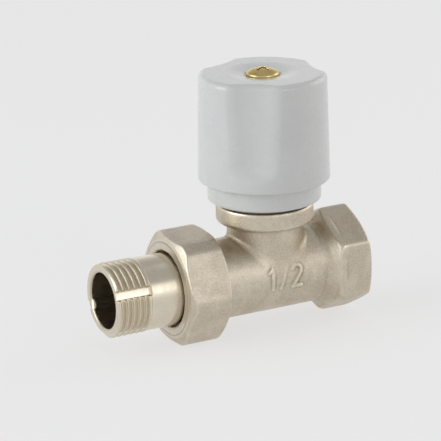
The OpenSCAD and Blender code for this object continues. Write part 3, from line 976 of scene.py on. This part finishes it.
@dataclass(frozen=True)
class Numerals:
    """Raised pipe size on the front of the barrel, one half in plain strokes.

    Attributes:
        barrel_r: Radius of the barrel that carries it.
        middle_x: Station of its middle.
        middle_arc: Height of its middle above the barrel's front line, along the surface.
        stroke: Width of a stroke.
        height: How far it stands out.
    """

    barrel_r: float = 11.35
    middle_x: float = -26.4
    middle_arc: float = 0.9
    stroke: float = 0.95
    height: float = 0.4

    def strokes(self) -> np.ndarray:
        """Start and end of each straight bit of a stroke, as rows of four numbers."""
        bow = [
            (1.38 * math.cos(math.radians(a)), 1.75 + 1.38 * math.sin(math.radians(a)))
            for a in range(165, -50, -18)
        ]
        lines = [
            (-3.85, [(-0.95, 1.95), (0.15, 3.1), (0.15, -3.1)]),
            (-0.25, [(0.95, 3.1), (-0.95, -3.1)]),
            (4.0, [*bow, (-1.4, -3.05), (1.5, -3.05)]),
        ]
        rows = []
        for shift, line in lines:
            for (x0, y0), (x1, y1) in zip(line, line[1:]):
                rows.append((x0 + shift, y0, x1 + shift, y1))
        return np.array(rows)

    def solid(self) -> Solid:
        """The strokes as raised ridges on the barrel."""
        rows = self.strokes()

        def distance(p: np.ndarray) -> np.ndarray:
            radius, x, angle = Axis.PIPE.split(p)
            arc = ((math.pi - angle + math.pi) % TAU - math.pi) * self.barrel_r - self.middle_arc
            side = x - self.middle_x
            result = np.full(len(p), 4.0)
            near = (np.abs(side) < 8) & (np.abs(arc) < 6) & (radius > self.barrel_r - 3)
            result[~near] = np.maximum(
                np.maximum(np.abs(side[~near]) - 6, np.abs(arc[~near]) - 4), self.barrel_r - 1 - radius[~near]
            ).clip(1.0, None)
            spot = np.stack([side[near], arc[near]], 1)
            best = np.full(len(spot), 9.0)
            for row in rows:
                start, way = row[:2], row[2:] - row[:2]
                share = np.clip((spot - start) @ way / (way @ way), 0, 1)
                best = np.minimum(best, np.linalg.norm(spot - start - share[:, None] * way, axis=1))
            shell = np.maximum(radius[near] - self.barrel_r - self.height, self.barrel_r - 1 - radius[near])
            result[near] = round_meet(best - self.stroke / 2, shell, 0.22)
            return result

        return Solid(distance)


@dataclass(frozen=True)
class ForgedBody:
    """Forged body: barrel, pipe mouth with its hexagon, neck, collar and the ways inside.

    Attributes:
        barrel_r: Radius of the barrel.
        union_face: Station of the face that meets the union's gasket.
        thread_back: Station where the union thread ends.
        union_crest: Crest radius of the union thread.
        hex_start: Station of the hexagon's back.
        mouth: Station of the mouth's face.
        flats: Hexagon's width across the flats.
        neck_r: Radius of the neck.
        collar_r: Radius of the collar.
        collar: Heights of the collar's underside and top.
        pipe_root: Root radius of the female pipe thread, which is its largest.
        pipe_start: Station where that thread ends inside.
        cell: Grid step of its skin.
    """

    barrel_r: float = 11.35
    union_face: float = -52.1
    thread_back: float = -46.2
    union_crest: float = 13.15
    hex_start: float = -9.9
    mouth: float = 1.0
    flats: float = 27.0
    neck_r: float = 10.8
    collar_r: float = 13.8
    collar: tuple[float, float] = (15.4, 20.8)
    pipe_root: float = 10.478
    pipe_start: float = -11.0
    cell: float = 0.37

    def outside(self) -> Solid:
        """The forging's outside."""
        pipe, up = Axis.PIPE, Axis.SPINDLE
        core = bar(pipe, self.union_crest - 1.2, self.union_face, self.hex_start + 2, 0.3)
        rim = taper(pipe, (self.thread_back, 12.6), (self.thread_back + 1.3, self.barrel_r - 0.05))
        rim = rim.meet(bar(pipe, 12.6, self.thread_back, self.thread_back + 4, 0.3), 0.3)
        barrel = bar(pipe, self.barrel_r, self.thread_back, self.hex_start + 2)
        barrel = barrel.join(rim, 0.5)
        shoulder = taper(pipe, (self.hex_start - 2.15, self.barrel_r), (self.hex_start, 13.5))
        shoulder = shoulder.meet(bar(pipe, 13.5, self.hex_start - 3, self.hex_start + 2), 0.6)
        barrel = barrel.join(shoulder, 1.0)
        corner_r = self.flats / math.sqrt(3)
        ends = bar(pipe, corner_r, self.hex_start - 0.2, self.mouth, 0.0)
        ends = ends.meet(taper(pipe, (self.hex_start - 0.2, corner_r - 2.0), (self.hex_start + 1.6, corner_r)), 1.2)
        ends = ends.meet(taper(pipe, (0.0, corner_r), (self.mouth, 13.3)), 0.3)
        nut = hexagon(pipe, self.flats, 90, 0.55).meet(ends, 0.45)
        neck = bar(up, self.neck_r, 0, self.collar[1] - 1)
        collar = bar(up, self.collar_r, self.collar[0], self.collar[1], 0.9)
        whole = barrel.join(nut, 0.8).join(neck, 1.4).join(collar, 1.2)
        long_core = core.meet(slab(pipe, self.union_face, self.thread_back + 1))
        return whole.join(long_core).join(Numerals().solid(), 0.3)

    def ways(self) -> Solid:
        """Water ways, the seat hole, and the bores for the bonnet and the pipe."""
        pipe, up = Axis.PIPE, Axis.SPINDLE
        mouth = bar(pipe, self.pipe_root + 0.12, self.pipe_start + 0.1, 6)
        runout = taper(pipe, (-12.6, 7.2), (self.pipe_start, 9.3)).meet(slab(pipe, -12.6, -10.8))
        inlet = bar(pipe, 7.2, -15.2, -11)
        below = bar(pipe, 7.2, -38.6, -14.2).meet(slab(up, -12, -1.5))
        trough = bar(up, 7.2, -13, 1.5).join(plate(0, 14.4, (0, 12.2), (-13, 7.2)))
        below = below.meet(trough, 0.4)
        outlet = bar(pipe, 8.0, -58, -38.2)
        above = bar(pipe, 8.0, -39.2, SPINDLE_X).meet(slab(up, 1.5, 40), 0.4)
        seat = bar(up, 5.0, -2.5, 2.5)
        lip = bar(up, 6.6, 0.5, 3.0, 0.0).cut(bar(up, 5.0, 0, 4))
        lip = lip.meet(taper(up, (1.5, 6.6), (3.0, 5.9)), 0.1)
        chamber = bar(up, 8.1, 1.5, 12.4).cut(lip, 0.2)
        bonnet = bar(up, 8.8, 11.4, 26)
        lead = taper(up, (20.3, 8.8), (21.3, 9.8)).meet(slab(up, 20.3, 26))
        ways = mouth.join(runout).join(inlet).join(below, 0.3).join(outlet).join(above, 0.5)
        return ways.join(seat).join(chamber, 0.3).join(bonnet).join(lead)

    def build(self, maker: PieceMaker) -> None:
        """Makes the casting's piece with its threads."""
        solid = self.outside().cut(self.ways(), 0.25)
        lo = (self.union_face, -15.7, -15.7)
        hi = (self.mouth, 15.7, self.collar[1])
        skin = SkinMaker(self.cell).draw(solid, lo, hi)
        radius, x, _ = Axis.PIPE.split(skin.points)
        up_r, z, _ = Axis.SPINDLE.split(skin.points)
        inside = (self.ways().distance(skin.points) < 0.3) & ((radius < 9.6) | (up_r < 9.9))
        faced = (x > self.mouth - 0.12) | (z > self.collar[1] - 0.12) | (x < self.thread_back + 0.1)
        cut = np.where(inside | faced, 1.0, 0.0)
        skin = Skin(skin.points, skin.faces, cut)
        threads = self.union_thread().plus(self.mouth_thread())
        maker.piece("body_forging", skin, "valve_body", "valve", "forged_brass", sharp=0.14)
        maker.piece("body_threads", threads, "valve_body", "valve", "forged_brass", sharp=0.14)

    def union_thread(self) -> Skin:
        """Male thread that the union nut runs on."""
        thread = PipeThread()
        lo, hi, crest = self.union_face, self.thread_back + 0.4, self.union_crest
        corners = (
            (lo + 0.02, crest - 1.6, 0.0),
            (hi, crest - 1.6, 0.0),
            (hi, crest, 0.1),
            (lo + 0.9, crest, 0.1),
            (lo + 0.02, crest - 0.9, 0.1),
        )
        angles = np.linspace(0, TAU, 220, endpoint=False)

        def shape(angle: np.ndarray, along: np.ndarray, radius: np.ndarray) -> np.ndarray:
            share = 1 - ease(along, hi - 1.4, hi - 0.5)
            cut = crest - thread.bite(angle, along) * share
            return np.where(radius > crest - 1.3, np.minimum(radius, cut), radius)

        return Turning(corners, angles, fine=(2, 3)).skin(shape)

    def mouth_thread(self) -> Skin:
        """Female thread in the pipe mouth."""
        thread = PipeThread()
        root, lo, hi = self.pipe_root, self.pipe_start, self.mouth - 0.02
        crest = root - thread.depth
        corners = ((lo, crest, 0.0), (hi, crest, 0.0), (hi, root + 0.4, 0.0), (lo, root + 0.4, 0.0))
        angles = np.linspace(0, TAU, 200, endpoint=False)

        def shape(angle: np.ndarray, along: np.ndarray, radius: np.ndarray) -> np.ndarray:
            share = ease(along, lo + 0.2, lo + 1.6)
            inner = crest + (thread.depth - thread.bite(angle, along)) * share
            inner = np.maximum(inner, root + 0.12 + along - self.mouth)
            return np.where(radius < root, inner, radius)

        return Turning(corners, angles, fine=(0,)).skin(shape)


@dataclass(frozen=True)
class UnionNut:
    """Forged hexagonal nut with turned-down corners and a female thread.

    Attributes:
        front: Station of its front face.
        back: Station of its back face.
        flats: Width across the flats.
        corner: Angle of one corner in degrees.
        corner_r: Radius to which the corners are turned down.
        hole_r: Radius of the hole in its front wall.
        wall: Thickness of the front wall.
        thread_root: Root radius of its thread.
        cell: Grid step of its skin.
    """

    front: float = -58.0
    back: float = -45.3
    flats: float = 30.0
    corner: float = 4.0
    corner_r: float = 16.45
    hole_r: float = 10.8
    wall: float = 2.4
    thread_root: float = 13.27
    cell: float = 0.28

    def build(self, maker: PieceMaker) -> None:
        """Makes the nut's piece."""
        pipe = Axis.PIPE
        blank = bar(pipe, self.corner_r, self.front, self.back, 0.3)
        blank = blank.meet(taper(pipe, (self.front, 14.0), (self.front + 1.25, self.corner_r)), 0.35)
        blank = blank.meet(taper(pipe, (self.back - 0.85, self.corner_r), (self.back, 15.0)), 0.3)
        nut = hexagon(pipe, self.flats, self.corner, 0.35).meet(blank, 0.3)
        nut = nut.cut(bar(pipe, self.hole_r, self.front - 3, self.front + 4), 0.3)
        nut = nut.cut(bar(pipe, self.thread_root + 0.12, self.front + self.wall, self.back + 3), 0.3)
        skin = SkinMaker(self.cell).draw(nut, (self.front, -16.6, -16.6), (self.back, 16.6, 16.6))
        radius, x, _ = pipe.split(skin.points)
        cut = (radius < self.thread_root + 0.3) | (x < self.front + 0.15) | (x > self.back - 0.15)
        skin = Skin(skin.points, skin.faces, np.where(cut, 0.6, 0.0)).plus(self.thread())
        maker.piece("union_nut_forging", skin, "union_nut", "nut", "forged_nut_brass", sharp=0.12)

    def thread(self) -> Skin:
        """Female thread of the nut."""
        thread = PipeThread()
        root, lo, hi = self.thread_root, -53.4, self.back - 0.1
        corners = (
            (lo, root - 1.2, 0.1),
            (hi - 0.9, root - 1.2, 0.1),
            (hi, root - 0.1, 0.0),
            (hi, root + 0.35, 0.0),
            (lo, root + 0.35, 0.0),
        )
        angles = np.linspace(0, TAU, 220, endpoint=False)

        def shape(angle: np.ndarray, along: np.ndarray, radius: np.ndarray) -> np.ndarray:
            share = ease(along, lo, lo + 0.8)
            inner = root - thread.bite(angle, along) * share
            return np.where(radius < root, np.maximum(radius, inner), radius)

        return Turning(corners, angles, fine=(0, 1)).skin(shape)


@dataclass(frozen=True)
class TailPiece:
    """Turned tail tube: male thread with two key grooves, plain part, flange and key lugs.

    Attributes:
        end: Station of its threaded end.
        thread_end: Station where the thread ends.
        flange: Stations of the flange's two faces.
        flange_r: Radius of the flange.
        crest: Crest radius of the thread.
        plain_r: Radius of the plain part.
        bore_r: Radius of the bore.
        key_angle: Angle of one key groove in degrees; the other is opposite.
        groove_w: Width of a key groove at its floor.
        groove_floor: Radius of the groove's floor.
    """

    end: float = -77.7
    thread_end: float = -67.4
    flange: tuple[float, float] = (-55.6, -53.6)
    flange_r: float = 11.95
    crest: float = 10.478
    plain_r: float = 10.32
    bore_r: float = 7.87
    key_angle: float = 156.6
    groove_w: float = 2.3
    groove_floor: float = 9.278

    def angles(self) -> np.ndarray:
        """Angles round the tail, closer at the key grooves."""
        turn = np.arange(0, 360, 1.6)
        for key in (self.key_angle, self.key_angle + 180):
            off = (turn - key + 180) % 360 - 180
            turn = np.concatenate([turn[np.abs(off) > 11], (key + np.arange(-11, 11.01, 0.4)) % 360])
        return np.radians(np.sort(turn))

    def build(self, maker: PieceMaker) -> None:
        """Makes the tail's piece."""
        front, back = self.flange
        corners = (
            (self.end, self.bore_r, 0.5),
            (back, self.bore_r, 0.2),
            (back, self.flange_r, 0.3),
            (front, self.flange_r, 0.3),
            (front, self.plain_r, 0.3),
            (self.thread_end, self.plain_r, 0.0),
            (self.thread_end - 0.3, self.crest, 0.1),
            (self.end + 0.55, self.crest, 0.12),
            (self.end, self.crest - 0.5, 0.12),
        )
        skin = Turning(corners, self.angles(), fine=(4, 6, 7)).skin(self.shape)
        maker.piece("tail_turning", skin, "tailpiece", "tail", "turned_brass", sharp=0.1, rounds=4)

    def shape(self, angle: np.ndarray, along: np.ndarray, radius: np.ndarray) -> np.ndarray:
        """Cuts the thread and the grooves into the outside, and adds the lugs in the bore."""
        thread = PipeThread()
        share = 1 - ease(along, self.thread_end - 1.7, self.thread_end - 0.5)
        outer = np.where(
            along < self.thread_end, np.minimum(radius, self.crest - thread.bite(angle, along) * share), radius
        )
        lugs = np.full_like(radius, 99.0)
        for key in (self.key_angle, self.key_angle + 180):
            off = angle - math.radians(key)
            across = np.where(np.cos(off) > 0, np.abs(radius * np.sin(off)), 99.0)
            wall = self.groove_floor + np.maximum(across - self.groove_w / 2, 0) * 3.0
            wall = wall + np.maximum(along - self.thread_end, 0) * 20
            outer = np.minimum(outer, wall)
            reach = 1.9**2 - (8.9 * np.sin(off)) ** 2
            lug = np.where((np.cos(off) > 0) & (reach > 0), 8.9 * np.cos(off) - np.sqrt(np.maximum(reach, 0)), 99.0)
            lug = lug + np.maximum(self.end + 0.5 - along, 0) * 6 + np.maximum(along - self.thread_end, 0) * 6
            lugs = np.minimum(lugs, lug)
        inner = np.minimum(radius, lugs)
        return np.where(radius > (self.bore_r + self.groove_floor) / 2, outer, inner)


@dataclass(frozen=True)
class Handwheel:
    """Moulded white handwheel: grip with three finger flutes, skirt, dished top, hub and ribs.

    Attributes:
        top: Height of its flat top.
        grip_bottom: Height of the grip's lower edge.
        skirt_bottom: Height of the skirt's mouth.
        grip_r: Radius of the grip at its lower edge.
        grip_top_r: Radius of the grip near its top.
        skirt_r: Radius of the skirt.
        flute_angles: Angles of the finger flutes in degrees.
        flute_r: Radius of a flute.
        flute_depth: Depth of a flute at the top.
        flute_bottom: Height of a flute's foot.
        flute_tilt: Lean of a flute in degrees.
        cell: Grid step of its skin.
    """

    top: float = 58.1
    grip_bottom: float = 27.6
    skirt_bottom: float = 21.8
    grip_r: float = 18.6
    grip_top_r: float = 18.0
    skirt_r: float = 16.05
    flute_angles: tuple[float, ...] = (232.0, 352.0, 112.0)
    flute_r: float = 23.5
    flute_depth: float = 2.3
    flute_bottom: float = 31.6
    flute_tilt: float = 3.0
    cell: float = 0.37

    def flute(self, angle: float) -> Solid:
        """The leaning round form that cuts one flute."""
        c, s = math.cos(math.radians(angle)), math.sin(math.radians(angle))
        lean = math.radians(self.flute_tilt)
        centre = self.grip_top_r - self.flute_depth + self.flute_r

        def distance(p: np.ndarray) -> np.ndarray:
            x, z = p[:, 0] - SPINDLE_X, p[:, 2] - self.top
            out, across = x * c + p[:, 1] * s - centre, p[:, 1] * c - x * s
            local_x = out * math.cos(lean) + z * math.sin(lean)
            local_z = z * math.cos(lean) - out * math.sin(lean)
            foot = (self.flute_bottom - self.top) - local_z
            return round_meet(np.hypot(local_x, across) - self.flute_r, foot, 5.0)

        return Solid(distance)

    def solid(self) -> Solid:
        """The whole wheel."""
        up = Axis.SPINDLE
        grip = taper(up, (self.grip_bottom, self.grip_r), (self.top - 1.5, self.grip_top_r))
        for angle in self.flute_angles:
            grip = grip.cut(self.flute(angle), 1.1)
        grip = grip.meet(slab(up, -99, self.top), 1.6).meet(slab(up, self.grip_bottom, 99), 0.55)
        skirt = bar(up, self.skirt_r, self.skirt_bottom, self.grip_bottom + 4, 0.6)
        wheel = grip.join(skirt, 0.3)
        hollow_top = self.top - 4.6
        hollow = taper(up, (self.skirt_bottom, 13.9), (hollow_top, 13.4)).meet(slab(up, 10, hollow_top), 0.6)
        wheel = wheel.cut(hollow, 0.4)
        hub = bar(up, 6.4, 40.5, hollow_top + 1, 0.4)
        for k in range(6):
            rib = plate(self.flute_angles[0] + 60 * k, 1.4, (4.5, 14.6), (44.0, hollow_top + 1))
            hub = hub.join(rib, 0.5)
        wheel = wheel.join(hub, 0.5)
        dish_r = (9.2**2 + 1.1**2) / 2.2
        wheel = wheel.cut(ball((SPINDLE_X, 0, self.top - 1.1 + dish_r), dish_r), 0.4)
        wheel = wheel.cut(bar(up, 5.08, self.top - 1.1, self.top + 2), 0.15)
        return wheel.cut(bar(up, 2.2, 30, self.top + 2)).cut(bar(up, 3.6, 30, 50.2), 0.3)

    def build(self, maker: PieceMaker) -> None:
        """Makes the wheel's piece."""
        r = self.grip_r + 0.3
        skin = SkinMaker(self.cell).draw(
            self.solid(), (SPINDLE_X - r, -r, self.skirt_bottom), (SPINDLE_X + r, r, self.top)
        )
        maker.piece("handwheel_moulding", skin, "handwheel", "stem", "white_plastic", sharp=0.3)


@dataclass(frozen=True)
class HandleScrew:
    """Screw with a domed head and a cross recess.

    Attributes:
        head_r: Radius of the head.
        seat: Height of the head's underside.
        rim: Height of the head's straight rim.
        dome: Height of the dome over the rim.
        shank_r: Radius of the shank.
        shank_end: Height of the shank's end.
        turn: Angle of the recess in degrees.
    """

    head_r: float = 4.68
    seat: float = 57.0
    rim: float = 0.9
    dome: float = 1.4
    shank_r: float = 1.75
    shank_end: float = 43.0
    turn: float = 20.0

    def build(self, maker: PieceMaker) -> None:
        """Makes the screw's piece."""
        up = Axis.SPINDLE
        top = self.seat + self.rim + self.dome
        ball_r = (self.head_r**2 + self.dome**2) / (2 * self.dome)
        head = bar(up, self.head_r, self.seat, top + 1, 0.12)
        head = head.meet(ball((SPINDLE_X, 0, top - ball_r), ball_r), 0.35)
        arms = plate(self.turn, 0.9, (-4, 4), (top - 1.5, top + 2))
        arms = arms.join(plate(self.turn + 90, 0.9, (-4, 4), (top - 1.5, top + 2)))
        cone = taper(up, (top - 1.5, 1.3), (top, 2.85)).meet(slab(up, top - 1.5, top + 1))
        recess = arms.meet(cone).join(bar(up, 0.9, top - 1.7, top + 1), 0.2)
        head = head.cut(recess, 0.14)
        screw = head.join(bar(up, self.shank_r, self.shank_end, self.seat + 0.5, 0.3), 0.2)
        lo = (SPINDLE_X - self.head_r, -self.head_r, self.shank_end)
        hi = (SPINDLE_X + self.head_r, self.head_r, top)
        skin = SkinMaker(0.13).draw(screw, lo, hi)
        maker.piece("handle_screw_brass", skin, "handle_screw", "stem", "screw_brass", sharp=0.05)


@dataclass(frozen=True)
class Headwork:
    """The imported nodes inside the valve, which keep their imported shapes.

    Attributes:
        replaced: Nodes that a detailed piece stands for.
    """

    replaced: tuple[str, ...] = ("valve_body", "union_nut", "tailpiece", "handwheel", "handle_screw")

    def build(self, maker: PieceMaker) -> None:
        """Gives each kept node the finish of its slot in the record."""
        for part in frame["record"]["subparts"]:
            if part["node"] not in self.replaced:
                maker.dress_node(part["node"], part["material_slot"])


# Stage


@dataclass(frozen=True)
class Lamp:
    """A soft rectangular lamp.

    Attributes:
        name: Its name.
        place: Where it stands, in metres.
        size: Width and height in metres.
        power: Power in watts.
        tint: Its colour.
    """

    name: str
    place: tuple[float, float, float]
    size: tuple[float, float]
    power: float
    tint: Colour

    def hang(self, aim: Vector) -> None:
        """Puts the lamp in the scene, aimed at the object."""
        light = bpy.data.lights.new(self.name, "AREA")
        light.shape = "RECTANGLE"
        light.size, light.size_y = self.size
        light.energy = self.power
        light.color = self.tint
        held = bpy.data.objects.new(self.name, light)
        held.location = self.place
        held.rotation_euler = (aim - Vector(self.place)).to_track_quat("-Z", "Y").to_euler()
        bpy.context.scene.collection.objects.link(held)


@dataclass(frozen=True)
class Studio:
    """Pale floor, white surroundings and soft lamps.

    Attributes:
        floor_z: Height of the floor in millimetres.
        floor_tone: Grey of the floor.
        lit: Strength of the surroundings as a lamp.
        lamps: The lamps.
    """

    floor_z: float = -15.75
    floor_tone: float = 0.86
    lit: float = 0.42
    lamps: tuple[Lamp, ...] = (
        Lamp("window_left", (-0.95, 0.15, 0.35), (0.7, 0.7), 3.6, (0.93, 0.98, 1.0)),
        Lamp("front_panel", (0.2, -0.95, 0.45), (0.5, 0.5), 0.8, (1.0, 0.985, 0.96)),
        Lamp("right_panel", (0.8, 0.0, 0.3), (0.6, 0.6), 1.2, (1.0, 0.99, 0.97)),
    )

    def build(self) -> None:
        """Makes the floor, the surroundings and the lamps."""
        self._floor()
        self._world()
        for lamp in self.lamps:
            lamp.hang(Vector((-0.035, 0, 0.015)))
        scene = bpy.context.scene
        scene.view_settings.view_transform = "Standard"
        LOG.info("studio: floor at %.2f mm and %d lamps", self.floor_z, len(self.lamps))

    def _seen(self, graph: Graph) -> bpy.types.NodeSocket:
        """1 for rays that show the background itself, in the open or in a reflection."""
        path = graph.add("LightPath")
        seen = graph.maths("ADD", path.outputs["Is Camera Ray"], path.outputs["Is Glossy Ray"])
        return graph.maths("ADD", seen, path.outputs["Is Transmission Ray"], clamp=True)

    def _floor(self) -> None:
        """A wide pale floor that keeps a soft shadow and is clear from below."""
        r = 4.0
        mesh = bpy.data.meshes.new("floor")
        z = self.floor_z * MM
        mesh.from_pydata([(-r, -r, z), (r, -r, z), (r, r, z), (-r, r, z)], [], [(0, 1, 2, 3)])
        floor = bpy.data.objects.new("floor", mesh)
        bpy.context.scene.collection.objects.link(floor)
        made = bpy.data.materials.new("pale_floor")
        made.use_nodes = True
        graph = Graph(made.node_tree)
        nodes = made.node_tree.nodes
        shader = nodes["Principled BSDF"]
        shader.inputs["Base Color"].default_value = (self.floor_tone,) * 3 + (1.0,)
        shader.inputs["Roughness"].default_value = 0.9
        shader.inputs["Specular IOR Level"].default_value = 0.1
        glow = graph.add("Emission", Color=(1.0, 1.0, 1.0), Strength=1.0)
        lifted = graph.add("MixShader")
        graph.feed(lifted.inputs[0], graph.maths("MULTIPLY", self._seen(graph), 0.6))
        graph.feed(lifted.inputs[1], shader.outputs[0])
        graph.feed(lifted.inputs[2], glow.outputs[0])
        below = graph.add("MixShader")
        graph.feed(below.inputs[0], graph.add("NewGeometry").outputs["Backfacing"])
        graph.feed(below.inputs[1], lifted.outputs[0])
        graph.feed(below.inputs[2], graph.add("BsdfTransparent").outputs[0])
        graph.feed(nodes["Material Output"].inputs["Surface"], below.outputs[0])
        mesh.materials.append(made)

    def _world(self) -> None:
        """Surroundings that show white, and light the object at a plain level."""
        world = bpy.data.worlds.new("white_surroundings")
        world.use_nodes = True
        bpy.context.scene.world = world
        graph = Graph(world.node_tree)
        back = world.node_tree.nodes["Background"]
        path = graph.add("LightPath")
        height = graph.add("SeparateXYZ", Vector=graph.add("TexCoord").outputs["Generated"]).outputs["Z"]
        mirrored = graph.span(height, 0.12, 0.75, 1.0, 0.5)
        strength = graph.maths("MULTIPLY", path.outputs["Is Glossy Ray"], graph.maths("SUBTRACT", mirrored, self.lit))
        strength = graph.maths("ADD", strength, self.lit)
        plain = graph.maths("ADD", path.outputs["Is Camera Ray"], path.outputs["Is Transmission Ray"], clamp=True)
        rest = graph.maths("MULTIPLY", graph.maths("SUBTRACT", 1.0, plain), strength)
        back.inputs["Color"].default_value = (1.0, 1.0, 1.0, 1.0)
        graph.feed(back.inputs["Strength"], graph.maths("ADD", rest, plain))


@dataclass(frozen=True)
class PhotoCamera:
    """Camera at the photograph's viewing angle.

    Attributes:
        place: Where it stands, in metres.
        right: Direction to the right of the picture.
        up: Direction to the top of the picture.
        lens: Focal length in millimetres on a 36 mm sensor.
        shift: Offset of the picture's middle, as a share of its width.
    """

    place: tuple[float, float, float] = (-0.352409, -0.588942, 0.230806)
    right: tuple[float, float, float] = (0.88056469, -0.47353471, -0.01925374)
    up: tuple[float, float, float] = (0.16094602, 0.26058267, 0.95194173)
    lens: float = 204.205
    shift: tuple[float, float] = (-0.5 / 441, 0.5 / 441)

    def build(self) -> None:
        """Makes the camera and makes it the scene's own."""
        data = bpy.data.cameras.new("photo_camera")
        data.sensor_width, data.lens = 36.0, self.lens
        data.shift_x, data.shift_y = self.shift
        data.clip_start, data.clip_end = 0.05, 20.0
        held = bpy.data.objects.new("photo_camera", data)
        right, up = Vector(self.right), Vector(self.up)
        turn = Matrix((right, up, right.cross(up))).transposed().to_4x4()
        held.matrix_world = Matrix.Translation(self.place) @ turn
        bpy.context.scene.collection.objects.link(held)
        bpy.context.scene.camera = held
        LOG.info("camera: %.1f mm lens at %s", self.lens, self.place)


def main() -> None:
    """Builds every sub-assembly, the stage and the camera."""
    logging.basicConfig(level=logging.INFO, format="%(name)s: %(message)s")
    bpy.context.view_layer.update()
    PhotoCamera().build()
    maker = PieceMaker()
    for part in (ForgedBody(), UnionNut(), TailPiece(), Handwheel(), HandleScrew(), Headwork()):
        part.build(maker)
    Studio().build()


if __name__ == "__main__":
    main()
